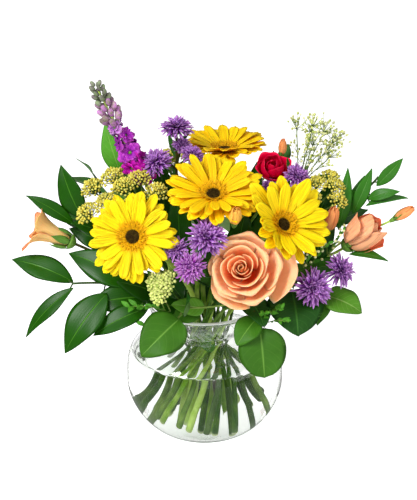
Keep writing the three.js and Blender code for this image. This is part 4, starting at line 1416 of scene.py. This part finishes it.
@dataclass(frozen=True)
class Stock:
    """A spike of stock: open florets below, buds above, and two narrow leaves."""

    slot: int = 14
    low: Point = (-74, -5, 330)
    top: Point = (-120, -5, 428)
    florets: int = 12
    buds: int = 34
    leaves: tuple[Leaf, ...] = (
        Leaf((-94, 6, 318), (-113, 12, 381), 26, (-10, 15), fold=0.1),
        Leaf((-82, 8, 312), (-101, 22, 362), 16, (0, 20)),
    )

    def build(self) -> None:
        """Builds the stem with its leaves and buds, and the florets."""
        axis = np.subtract(self.top, self.low)
        way = unit(axis)
        line = StemLine(self.slot, 2.6, self.low, tuple(way))
        stem = Growth("stock_spike_stem")
        line.draw(stem, STEM_BRIGHT, 0.8)
        stem.tubes(self.low + np.linspace(0, 0.97, 12)[:, None] * axis, np.linspace(2.2, 0.9, 12),
                   STEM_BRIGHT, 8)
        for leaf in self.leaves:
            hang(stem, line, leaf, 0.9)
        right, up = cross_axes(way)

        def outward(number: Array) -> Array:
            """The way from the axis at a step of the spiral."""
            angle = number * GOLDEN_ANGLE
            return right * np.cos(angle)[:, None] + up * np.sin(angle)[:, None]

        bloom = Growth("stock_floret_spike")
        number = np.arange(self.florets)
        share = 0.7 * (number / self.florets) ** 1.1
        away = outward(number + 0.3)
        centres = self.low + (share - 0.06)[:, None] * axis
        for k in number:
            size = 15.0 - 9.5 * share[k]
            facing = unit(away[k] + bloom.rng.normal(0.3, 0.25) * way + [0, -0.25, 0])
            place = centres[k] + 0.52 * size * away[k] + 0.2 * size * way
            stand = Stand.towards(place, facing)
            finish = (FUCHSIA_PETAL, MAGENTA_PETAL, LILAC_PETAL)[min(int(4.2 * share[k]), 2)]
            for turn, reach, rise in ((bloom.rng.random(), 1.0, 0.05), (bloom.rng.random(), 0.66, 0.35)):
                row = CupRow(4, ((0.06, -0.2), (0.2, 0.3), (0.55 * reach, 0.35), (reach, rise)), 104,
                             turn, 0.08, rounding=0.22, wave=0.14, loose=0.1, rows=9, columns=9)
                bloom.petals([row.scaled(size, size)], 0.4, finish, stand)
            stalk = np.stack([centres[k], place - 0.1 * size * facing])
            bloom.tubes(stalk, 0.9, TWIG, 5)
            bloom.beads((place - 0.35 * size * facing)[None], facing[None], 0.16 * size, 0.4 * size,
                        SEPAL, CUP, 8)
        count = np.arange(self.buds)
        share = 0.55 + 0.46 * count / self.buds
        spread = outward(count)
        size = 1.1 + 3.2 * (1.2 - share)
        centres = self.low + share[:, None] * axis + (2.0 + 9.0 * (1.08 - share))[:, None] * spread
        axes = unit(0.7 * spread + way)
        half = self.buds // 2
        for pick, finish in ((slice(0, half), LILAC_BUD), (slice(half, None), TIP_BUD)):
            bloom.beads(centres[pick], axes[pick], size[pick] + 0.7, 3.4 * size[pick] + 2.4, finish,
                        PEARL, 8)
        stem.build("green_stems", "stock_stem")
        bloom.build("magenta_petals", "stock_florets")


# ---------- Fillers and foliage ----------


@dataclass(frozen=True)
class Cluster:
    """A flat-topped cluster of small domes, on stalks that fork from one stem.

    The `count` domes are spread over a larger one of radius `spread` and height `dome`, and each
    stalk has `sprigs` short side sprigs.
    """

    name: str
    slot: int
    head: Stand
    fork: Point
    spread: float
    dome: float
    count: int
    form: Dome
    buds: tuple[SkinFinish, ...]
    piece_slot: str
    stem: SkinFinish = TWIG
    stalk: float = 1.0
    sprigs: int = 0
    sprig_bud: Pair = (1.5, 3.2)

    def sprig(self, growth: Growth, path: Array) -> None:
        """Adds short side sprigs along a stalk, each with a bud at its end."""
        rng = growth.rng
        share = rng.uniform(0.35, 0.98, self.sprigs) * (len(path) - 1)
        step = np.minimum(share.astype(int), len(path) - 2)
        base = path[step] + (share - step)[:, None] * (path[step + 1] - path[step])
        way = unit(unit(path[step + 1] - path[step]) + rng.normal(0, 0.55, base.shape))
        end = base + rng.uniform(6, 15, self.sprigs)[:, None] * way
        middle = (base + end) / 2 + [0, 0, -0.6]
        growth.tubes(np.stack([base, middle, end], 1), 0.26, self.stem, 3)
        for number, finish in enumerate(self.buds):
            pick = slice(number, None, len(self.buds))
            growth.beads(end[pick], way[pick], *self.sprig_bud, finish, PEARL, 5)

    def build(self) -> None:
        """Builds the stem, the stalks and the domes as one piece."""
        fork = np.array(self.fork, float)
        line = StemLine(self.slot, 1.8, self.fork, tuple(unit(fork - [0, 0, 118])))
        growth = Growth(f"{self.name}_spray")
        line.draw(growth, STEM_DARK, 0.8)
        x, y, share = sunflower(self.count, self.spread)
        centres = self.head.place(np.stack([x, y, self.dome * (1 - share**2)], -1))
        for centre in centres:
            stand = Stand.towards(centre, unit(0.6 * self.head.facing + 0.4 * unit(centre - fork)))
            foot = stand.along(-self.form.squash * self.form.radius)
            path = side_stalk(fork, foot)
            growth.tubes(path, self.stalk, self.stem, 6)
            if self.sprigs:
                self.sprig(growth, path)
            self.form.grow(growth, stand, self.buds, self.stem)
        growth.build(self.piece_slot, self.name)


@dataclass(frozen=True)
class Sprig:
    """A small twig with narrow leaves in two rows, and a bud at each leaf's tip if it has any."""

    base: Point
    tip: Point
    count: int = 9
    length: float = 10.0
    width: float = 3.4
    buds: SkinFinish | None = None
    bud: Pair = (1.7, 3.4)

    def grow(self, growth: Growth) -> None:
        """Adds the twig, its leaves and its buds to a piece."""
        path = bowed(self.base, self.tip, 0.1)
        growth.tubes(path, 0.6, TWIG, 5)
        step = np.linspace(1, len(path) - 1, self.count)
        foot = np.stack([np.interp(step, range(len(path)), path[:, axis]) for axis in range(3)], -1)
        way = unit(path[-1] - path[0])
        right, up = cross_axes(way)
        side = np.where(np.arange(self.count) % 2, 1.0, -1.0)[:, None] * right
        side = side + growth.rng.normal(0, 0.5, (self.count, 1)) * up
        size = self.length * growth.rng.uniform(0.6, 1.1, (self.count, 1))
        ends = foot + size * unit(side + 0.9 * way)
        for start, end in zip(foot, ends):
            leaf = Leaf(tuple(start), tuple(end), self.width, (0, 40), 0.08, Outline.LANCE, 0.2)
            growth.sheets(leaf.sheet(growth.rng, 9, 5), 0.35, SPRIG_LEAF)
        if self.buds:
            growth.beads(ends, unit(ends - foot), *self.bud, self.buds, PEARL, 8)


@dataclass(frozen=True)
class Branch:
    """A leafy branch: one stem, and leaves that each hang on a short stalk.

    `others` gives the leaves that don't have the branch's own finish, by their number.
    """

    name: str
    slot: int
    end: Point
    facing: Pair
    leaves: tuple[Leaf, ...]
    leaf: LeafFinish = RUSCUS
    piece_slot: str = "dark_leaves"
    twig: SkinFinish = DARK_TWIG
    others: dict[int, LeafFinish] = field(default_factory=dict)
    sprigs: tuple[Sprig, ...] = ()

    def build(self) -> None:
        """Builds the branch as one piece."""
        growth = Growth(f"{self.name}_branch")
        line = StemLine(self.slot, 1.8, self.end, tuple(aim(*self.facing)))
        line.draw(growth, self.twig, 0.7)
        for number, leaf in enumerate(self.leaves):
            base = np.array(leaf.base, float)
            inset = base + 0.12 * np.subtract(leaf.tip, leaf.base)
            growth.tubes(bowed(line.nearest(leaf.base), inset, 0.06), 0.9, self.twig, 6)
            growth.sheets(leaf.sheet(growth.rng), 0.6, self.others.get(number, self.leaf))
        for sprig in self.sprigs:
            growth.tubes(bowed(line.nearest(sprig.base), sprig.base, 0.06), 0.8, TWIG, 6)
            sprig.grow(growth)
        growth.build(self.piece_slot, self.name)


# ---------- The arrangement ----------


def gerberas() -> list[Gerbera]:
    """The four gerberas, each with its own number, width and lift of petals."""

    def comb(lift: float) -> tuple[RayRow, ...]:
        """Three rings of short florets round the disc, raised by an angle to clear the petals."""
        return tuple(
            RayRow(46 - 4 * k, 8.0 - 0.2 * k, 11.0 - 3.2 * k, 2.4 - 0.25 * k,
                   (lift + 10 * k, lift - 16 + 8 * k), 1.6 + 0.5 * k, 0.3 * k, loose=0.05, sway=0.04,
                   channel=0.3, notch=0.05, rows=6, columns=5)
            for k in range(3)
        )

    def straps(count: int, length: float, width: float, rise: Pair, over: Pair,
               **extra: float) -> tuple[RayRow, RayRow]:
        """Two rings of petals that lie one over the other."""
        shape = {"root": 0.5, "peak": 0.7, "fall": 0.14, "rounding": 0.17, "notch": 0.02, **extra}
        return (
            RayRow(count, 7.0, length, width, rise, -0.6, 0.0, **shape),
            RayRow(count - 4, 7.0, 0.94 * length, 0.95 * width, over, 0.7, 0.5, **shape),
        )

    wide = straps(28, 42.5, 11.4, (12, 1), (20, 4))
    upper = straps(30, 46.5, 11.4, (20, 6), (28, 10))
    broad = straps(15, 48.0, 17.0, (30, 18), (38, 24), root=0.42, peak=0.68, rounding=0.22, fall=0.28,
                   notch=0.0, sway=0.09)
    level = straps(26, 43.0, 14.0, (22, 6), (30, 12), loose=0.04)
    yellow, gold = "yellow_petals", "gold_petals"
    return [
        Gerbera("gerbera_left", 4, Stand((-78, -85, 280), -8, 24), wide, comb(30), YELLOW_RAY, yellow,
                STEM_BRIGHT),
        Gerbera("gerbera_middle", 1, Stand((10, -50, 316), 4, 62), upper, comb(38), AMBER_RAY, yellow,
                STEM_MIDDLE),
        Gerbera("gerbera_right", 2, Stand((87, -60, 284), 35, 37), broad, comb(50), YELLOW_RAY, yellow,
                STEM_BRIGHT),
        Gerbera("gerbera_top", 3, Stand((24, 62, 332), 0, 88), level, comb(40), GOLD_RAY, gold,
                STEM_MIDDLE),
    ]


def sprays() -> list[Spray]:
    """The spray roses, the carnation and the asters."""

    def small(name: str, at: Point, turn: float, rise: float, radius: float, length: float,
              form: Bloom = Bloom.BUD, finish: PetalFinish = BUD_PETAL) -> SmallBloom:
        """A spray rose's flower or bud."""
        return SmallBloom(name, Stand(at, turn, rise), radius, length, form, finish)

    def asters(side: str, *heads: tuple[Any, ...]) -> tuple[Aster, ...]:
        """A spray's heads, numbered in their names: place, turn, rise, radius and any finish."""
        return tuple(
            Aster(f"aster_{side}_{number}", Stand(*head[:3]), *head[3:])
            for number, head in enumerate(heads, 1)
        )

    carnation = SmallBloom("carnation_head", Stand((78, 20, 318), 5, 55), 17, 20.4, Bloom.SATIN,
                           CRIMSON_PETAL, "crimson_petals", 0.4)
    return [
        Spray("spray_rose_left_stem", 22, 2.0, 0.8, (
            small("spray_rose_left_bloom", (-156, -20, 249), -90, 25, 19, 42, Bloom.TRUMPET,
                  TRUMPET_PETAL),
        ), STEM_BROWN),
        Spray("spray_rose_right_stem", 18, 2.0, 0.86, (
            small("spray_rose_right_bloom", (165, -28, 248), 85, 40, 19, 44, Bloom.CUP, CORAL_PETAL),
            small("spray_rose_right_bud", (219, -12, 274), 80, 35, 6, 26),
            small("spray_rose_behind_bloom", (142, -18, 262), 60, 75, 8, 32),
        ), STEM_BRIGHT),
        Spray("spray_rose_middle_stem", 0, 2.0, 0.62, (
            small("spray_rose_top_bud", (90, 30, 338), 10, 80, 5, 20),
            small("spray_rose_middle_bud", (33, -84, 296), 10, 60, 7.5, 24, finish=GOLD_BUD_PETAL),
        ), STEM_MIDDLE, foliage=(9, 34, 15)),
        Spray("carnation_stem", 8, 2.0, 0.8, (carnation,), STEM_DARK, (
            Leaf((58, 40, 262), (76, 78, 296), 20, (170, 40)),
        ), foliage=(12, 36, 6)),
        Spray("aster_back_left_stem", 6, 1.8, 0.8, asters(
            "back_left", ((-32, 20, 372), 0, 70, 18), ((-26, 24, 350), 30, 50, 12),
            ((-55, -8, 340), -20, 50, 18), ((-14, 8, 344), 20, 60, 13),
        ), STEM_BROWN, (Leaf((-36, 34, 278), (-66, 62, 318), 22, (200, 40)),), foliage=(18, 30, 7)),
        Spray("aster_front_stem", 20, 1.8, 0.8, asters(
            "front", ((3, -98, 284), 0, 35, 21), ((-15, -106, 252), -10, 25, 17, PINK_RAY),
            ((-30, -92, 268), -30, 35, 14),
        ), STEM_DARK, foliage=(18, 30, 7)),
        Spray("aster_right_stem", 23, 1.8, 0.85, asters(
            "right", ((121, -78, 216), 15, 15, 22), ((152, -62, 230), 40, 25, 19),
        ), STEM_MIDDLE, foliage=(16, 28, 7)),
        Spray("aster_back_right_stem", 5, 1.8, 0.85, asters(
            "back_right", ((106, 5, 318), 20, 50, 16), ((76, 0, 308), -10, 60, 11),
        ), STEM_DARK, foliage=(18, 32, 7)),
    ]


def clusters() -> list[Cluster]:
    """The yellow, cream and green fillers."""
    wide = Dome(13.0, 84, 1.5)
    small = Dome(10.5, 60, 1.4)
    fine = Dome(10.0, 20, 1.5, ragged=1.0)
    tight = Dome(9.0, 42, 1.9, squash=0.8)
    yellow = (GOLDEN_BUD, LIME_GOLD_BUD)
    return [
        Cluster("yellow_filler_left", 9, Stand((-96, -22, 306), -35, 62), (-70, -8, 250), 46, 16, 9,
                wide, yellow, "yellow_filler"),
        Cluster("yellow_filler_right", 13, Stand((142, 2, 302), 30, 60), (110, 10, 250), 26, 8, 5,
                small, yellow, "yellow_filler"),
        Cluster("yellow_filler_back", 11, Stand((-34, 98, 300), 200, 55), (-22, 66, 245), 42, 14, 7,
                wide, yellow, "yellow_filler"),
        Cluster("airy_filler", 21, Stand((132, 34, 357), 60, 62), (110, 28, 290), 31, 13, 8, fine,
                (CREAM_BUD, LIME_BUD), "cream_filler", TWIG, 0.6, 14),
        Cluster("green_bud_cluster", 25, Stand((-48, -108, 230), -15, 30), (-36, -78, 212), 11, 6, 4,
                tight, (LIME_BUD,), "green_buds", STEM_BRIGHT, 1.2),
    ]


def ruscus_branches() -> list[Branch]:
    """The branches of dark ruscus."""
    return [
        Branch("ruscus_left_low", 17, (-150, -50, 209), (-80, 0), (
            Leaf((-150, -45, 209), (-223, -20, 226), 31, (-20, 55)),
            Leaf((-148, -60, 208), (-204, -70, 151), 20, (-40, 20)),
            Leaf((-109, -75, 208), (-156, -105, 148), 40, (-20, 30)),
            Leaf((-62, -88, 196), (-124, -100, 167), 28, (-10, 50)),
            Leaf((-72, -62, 212), (-155, -35, 240), 40, (-20, 45)),
            Leaf((-50, -50, 195), (-98, -75, 222), 34, (-15, 40)),
            Leaf((-25, -50, 190), (-50, -70, 235), 22, (0, 25)),
            Leaf((-60, -66, 200), (-130, -78, 196), 36, (-15, 35)),
            Leaf((-26, -56, 180), (-64, -68, 191), 28, (-10, 50)),
        ), sprigs=(
            Sprig((-44, -88, 192), (-82, -104, 204), 9, 15.0, 5.6),
            Sprig((-38, -84, 190), (-66, -104, 182), 7, 12.0, 5.0),
            Sprig((-42, -84, 206), (-56, -102, 240), 9, 10.0, 4.0, LIME_BUD),
        )),
        Branch("ruscus_left_high", 27, (-139, -5, 271), (-60, 70), (
            Leaf((-150, -15, 268), (-204, -10, 301), 18, (-10, 50)),
            Leaf((-139, -8, 271), (-164, 5, 333), 30, (-20, 20)),
            Leaf((-112, -8, 250), (-152, -28, 274), 22, (-20, 50)),
            Leaf((-120, 15, 240), (-182, 40, 262), 28, (-90, 60)),
            Leaf((-105, -5, 235), (-158, 5, 255), 26, (-20, 40)),
            Leaf((-28, 10, 215), (-32, 20, 300), 30, (0, 15)),
        )),
        Branch("ruscus_right", 26, (201, 15, 315), (60, 55), (
            Leaf((155, -5, 257), (166, 20, 325), 16, (10, 15)),
            Leaf((172, 5, 273), (194, 20, 324), 16, (0, 20)),
            Leaf((167, 20, 268), (188, 38, 309), 14, (0, 20)),
            Leaf((199, 12, 305), (229, 20, 336), 15, (10, 30)),
            Leaf((188, 5, 292), (224, -5, 304), 14, (0, 40)),
            Leaf((186, 0, 285), (235, 0, 294), 14, (0, 70)),
            Leaf((165, -35, 239), (209, -45, 234), 16, (0, 75)),
            Leaf((150, 20, 250), (196, 50, 262), 22, (90, 60)),
            Leaf((120, 0, 230), (150, 10, 290), 26, (10, 20)),
            Leaf((90, 20, 245), (118, 30, 310), 26, (10, 20)),
            Leaf((112, -30, 215), (168, -35, 225), 24, (20, 50)),
            Leaf((55, 0, 215), (75, 10, 285), 30, (5, 15)),
            Leaf((116, -22, 222), (150, -16, 266), 26, (10, 20)),
            Leaf((122, 12, 244), (150, 26, 312), 24, (5, 15)),
        ), others=dict.fromkeys((*range(7), 10), FRESH_RUSCUS), sprigs=(
            Sprig((118, -52, 226), (138, -60, 262), 10, 9.0, 3.0, CREAM_BUD),
            Sprig((112, -58, 232), (120, -66, 254), 8, 8.0, 3.0, CREAM_BUD),
            Sprig((140, -40, 240), (158, -38, 268), 8, 8.0, 3.0, CREAM_BUD),
        )),
        Branch("ruscus_back_left", 19, (-128, 88, 268), (-125, 40), (
            Leaf((-110, 78, 262), (-176, 88, 290), 28, (180, 50)),
            Leaf((-128, 88, 268), (-160, 130, 300), 28, (200, 40)),
            Leaf((-84, 66, 238), (-120, 118, 216), 30, (200, 50)),
            Leaf((-66, 54, 222), (-130, 62, 204), 30, (220, 60)),
            Leaf((-96, 66, 250), (-98, 104, 306), 26, (190, 30)),
            Leaf((-50, 52, 216), (-44, 112, 254), 30, (190, 50)),
            Leaf((-60, 20, 245), (-88, 30, 320), 26, (-10, 15)),
            Leaf((-45, 25, 250), (-52, 40, 335), 24, (0, 15)),
            Leaf((-40, 0, 205), (-62, 10, 290), 32, (-10, 15)),
        )),
        Branch("ruscus_back_right", 16, (120, 100, 272), (130, 40), (
            Leaf((100, 84, 262), (166, 88, 292), 28, (170, 50)),
            Leaf((120, 100, 272), (146, 142, 304), 28, (160, 40)),
            Leaf((80, 72, 244), (104, 126, 222), 30, (170, 50)),
            Leaf((62, 58, 228), (126, 66, 206), 30, (140, 60)),
            Leaf((92, 82, 258), (84, 112, 316), 26, (170, 30)),
            Leaf((48, 58, 222), (36, 118, 262), 30, (170, 50)),
            Leaf((0, 30, 240), (-10, 45, 325), 30, (0, 15)),
            Leaf((50, 35, 240), (62, 50, 322), 30, (0, 15)),
            Leaf((30, -10, 205), (48, -5, 285), 32, (5, 15)),
        )),
    ]


def broad_leaves() -> list[Branch]:
    """The branches of broad leaves round the rim."""

    def broad(name: str, slot: int, end: Point, facing: Pair, leaves: tuple[Leaf, ...],
              others: dict[int, LeafFinish], sprigs: tuple[Sprig, ...] = ()) -> Branch:
        """A branch of broad leaves."""
        return Branch(name, slot, end, facing, leaves, BROAD_LEAF, "broad_leaves", TWIG, others, sprigs)

    oval = Outline.OVATE
    return [
        broad("broad_leaf_front_left", 12, (-26, -88, 188), (0, 0), (
            Leaf((-28, -96, 186), (-69, -128, 156), 50, (20, 45), outline=oval),
            Leaf((-4, -62, 186), (-38, -88, 178), 26, (10, 40)),
            Leaf((-1, -18, 134), (8, -29, 108), 17, (5, 10), outline=Outline.ROUND),
            Leaf((-12, 10, 178), (-46, 24, 228), 38, (0, 20), outline=oval),
            Leaf((0, -72, 188), (-37, -86, 199), 21, (5, 30), outline=oval),
        ), {4: PALE_LEAF}),
        broad("broad_leaf_front_right", 15, (60, -88, 182), (20, 0), (
            Leaf((62, -98, 176), (67, -122, 126), 54, (5, 25), 0.06, Outline.ROUND),
            Leaf((58, -92, 184), (36, -114, 162), 30, (0, 50), outline=oval),
            Leaf((8, 12, 178), (4, 26, 236), 38, (0, 20), outline=oval),
            Leaf((34, 6, 178), (56, 16, 226), 38, (0, 20), outline=oval),
            Leaf((16, -34, 174), (34, -46, 214), 26, (0, 20), outline=oval),
        ), {4: DEEP_LEAF}, sprigs=(
            Sprig((68, -96, 190), (84, -112, 206), 10, 10.0, 4.0),
            Sprig((64, -96, 186), (66, -114, 202), 9, 9.0, 3.6),
            Sprig((72, -96, 182), (92, -112, 190), 9, 9.0, 3.6),
        )),
        broad("broad_leaf_right", 10, (132, -56, 200), (60, 10), (
            Leaf((99, -62, 204), (104, -112, 172), 64, (10, 55), outline=oval),
            Leaf((136, -60, 198), (178, -76, 184), 40, (20, 60), outline=oval),
            Leaf((130, -56, 200), (127, -88, 174), 28, (10, 50)),
            Leaf((75, -30, 195), (128, -50, 232), 26, (10, 45)),
        ), {0: DEEP_LEAF, 1: PALE_LEAF}),
        broad("broad_leaf_back", 24, (14, 120, 236), (175, 30), (
            Leaf((10, 104, 226), (-34, 142, 186), 50, (190, 45), outline=oval),
            Leaf((16, 108, 228), (52, 146, 184), 52, (170, 45), outline=oval),
            Leaf((14, 120, 236), (8, 158, 262), 44, (180, 50), outline=oval),
            Leaf((0, 74, 206), (-6, 112, 172), 46, (180, 50), outline=oval),
            # These three leaves inside the mouth are dark sheets whose darkest finish paints the shade behind
            # the stems.
            Leaf((10, 24, 146), (2, 50, 212), 44, (0, 20), outline=oval),
            Leaf((-12, 22, 146), (-38, 42, 206), 38, (0, 20), outline=oval),
            Leaf((26, 18, 146), (56, 38, 208), 38, (0, 20), outline=oval),
        ), {2: PALE_LEAF, 4: DEEP_LEAF, 5: DEEP_LEAF, 6: DEEP_LEAF}),
    ]


# ---------- Studio ----------


def mirrored_rays(graph: Graph, path: Any) -> Socket:
    """One for a ray that gloss has mirrored, and nothing for one that has gone through glass."""
    return graph.times(path.outputs["Is Reflection Ray"], path.outputs["Is Glossy Ray"])


def grey(value: float) -> tuple[float, float, float, float]:
    """A grey for a shader."""
    return value, value, value, 1.0


@dataclass(frozen=True)
class FloorFinish(Finish):
    """White paper that is lit for the camera, and dimmer for every other ray.

    `greys` are the paper's own grey and the one that gloss mirrors.
    """

    light: float = 0.74
    dim_on_flowers: float = 0.58
    dim_in_gloss: float = 0.6
    dim_through_glass: float = 0.06
    greys: Pair = (0.9, 0.3)

    def dress(self, graph: Graph, shader: Any) -> dict[str, Any]:
        """Sets the light and the grey by the kind of ray that meets the floor."""
        path = graph.node("ShaderNodeLightPath")
        mirrored = mirrored_rays(graph, path)
        soft = graph.times(path.outputs["Is Diffuse Ray"], -self.dim_on_flowers)
        gloss = graph.times(mirrored, -self.dim_in_gloss)
        through = graph.times(path.outputs["Is Transmission Ray"], -self.dim_through_glass)
        light = graph.plus(graph.plus(soft, gloss), graph.plus(through, self.light))
        graph.link(light, shader, "Emission Strength")
        graph.link(graph.mix(mirrored, *map(grey, self.greys)), shader, "Base Color")
        return {"Roughness": 0.9, "Specular IOR Level": 0.1, "Emission Color": grey(1.0)}


@dataclass(frozen=True)
class Studio:
    """A pale floor, soft light from the upper left, and the camera.

    The sky is plain white to the camera. Light that falls on the flowers, that gloss mirrors or
    that glass lets through meets it dimmer, as it would in a room.
    """

    tilt: float = 22.0
    distance: float = 1500.0
    target: Point = (4.7, 0.0, 230.0)
    lens: float = 92.3
    bounces: int = 32
    diffuse_bounces: int = 6
    sky_on_flowers: float = 0.36
    sky_overhead_in_gloss: float = 1.3
    lamps: tuple[tuple[str, Point, float, float], ...] = (
        ("key_light", (-1.1, -1.2, 1.7), 0.9, 46.0),
        ("fill_light", (1.5, -0.9, 0.9), 1.2, 9.0),
        ("front_light", (0.2, -1.9, 0.6), 1.2, 5.0),
    )

    def ground(self) -> None:
        """Lays the floor, wide enough to fill the view behind the vase."""
        bpy.ops.mesh.primitive_plane_add(size=16.0, location=(0.0, 3.0, -0.0002))
        floor = bpy.context.object
        floor.name = "studio_floor"
        floor.data.materials.append(FloorFinish("studio_white").material())

    def lamp(self, name: str, place: Point, size: float, power: float) -> None:
        """Hangs a square area light that looks at the flowers."""
        light = bpy.data.lights.new(name, "AREA")
        light.size = size
        light.energy = power
        lamp = bpy.data.objects.new(name, light)
        lamp.location = place
        way = np.array([0.0, 0.0, 0.27]) - np.array(place)
        lamp.rotation_euler = (
            np.arccos(-way[2] / np.linalg.norm(way)), 0.0, np.arctan2(way[1], way[0]) - np.pi / 2
        )
        bpy.context.scene.collection.objects.link(lamp)

    def sky(self) -> None:
        """Surrounds the scene with white, which gloss and glass reflect as a dim room."""
        world = bpy.data.worlds.new("studio_sky")
        bpy.context.scene.world = world
        world.use_nodes = True
        graph = Graph(world.node_tree)
        place = graph.node("ShaderNodeTexCoord").outputs["Generated"]
        way = graph.node("ShaderNodeSeparateXYZ", {0: place})
        overhead = graph.ramp(way.outputs[2], 0.45, 0.95)
        path = graph.node("ShaderNodeLightPath")
        clear = graph.mix(overhead, tint("ffffff"), tint("c4c9c8"))
        mirrored = graph.mix(overhead, tint("4a4e50"), grey(self.sky_overhead_in_gloss))
        seen = graph.mix(mirrored_rays(graph, path), clear, mirrored)
        seen = graph.mix(path.outputs["Is Diffuse Ray"], seen, grey(self.sky_on_flowers))
        seen = graph.mix(path.outputs["Is Camera Ray"], seen, grey(1.0))
        graph.link(seen, world.node_tree.nodes["Background"], "Color")

    def camera(self) -> None:
        """Sets the camera that sees the bouquet as the photo does."""
        data = bpy.data.cameras.new("studio_camera")
        data.lens = self.lens
        data.sensor_width = 36.0
        eye = bpy.data.objects.new("studio_camera", data)
        lean = np.radians(self.tilt)
        back = np.array([0.0, -np.cos(lean), np.sin(lean)])
        eye.location = (np.array(self.target) + self.distance * back) * MM
        eye.rotation_euler = (np.pi / 2 - lean, 0.0, 0.0)
        bpy.context.scene.collection.objects.link(eye)
        bpy.context.scene.camera = eye

    def light_paths(self) -> None:
        """Lets light go through the vase, the water and the thick foot as often as it has to."""
        paths = bpy.context.scene.cycles
        paths.max_bounces = paths.transmission_bounces = paths.glossy_bounces = self.bounces
        paths.transparent_max_bounces = self.bounces
        paths.diffuse_bounces = self.diffuse_bounces

    def build(self) -> None:
        """Sets up the floor, the lights, the sky, the camera and the colour view."""
        self.light_paths()
        self.ground()
        for lamp in self.lamps:
            self.lamp(*lamp)
        self.sky()
        self.camera()
        bpy.context.scene.view_settings.view_transform = "Standard"


def main() -> None:
    """Builds the studio, the vase, the flowers and the foliage; each piece logs how many faces it has."""
    logging.basicConfig(level=logging.INFO, format="%(message)s")
    Studio().build()
    VASE.build()
    Rose().build()
    Stock().build()
    for group in (gerberas(), sprays(), clusters(), ruscus_branches(), broad_leaves()):
        for plant in group:
            plant.build()
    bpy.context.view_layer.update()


if __name__ == "__main__":
    main()
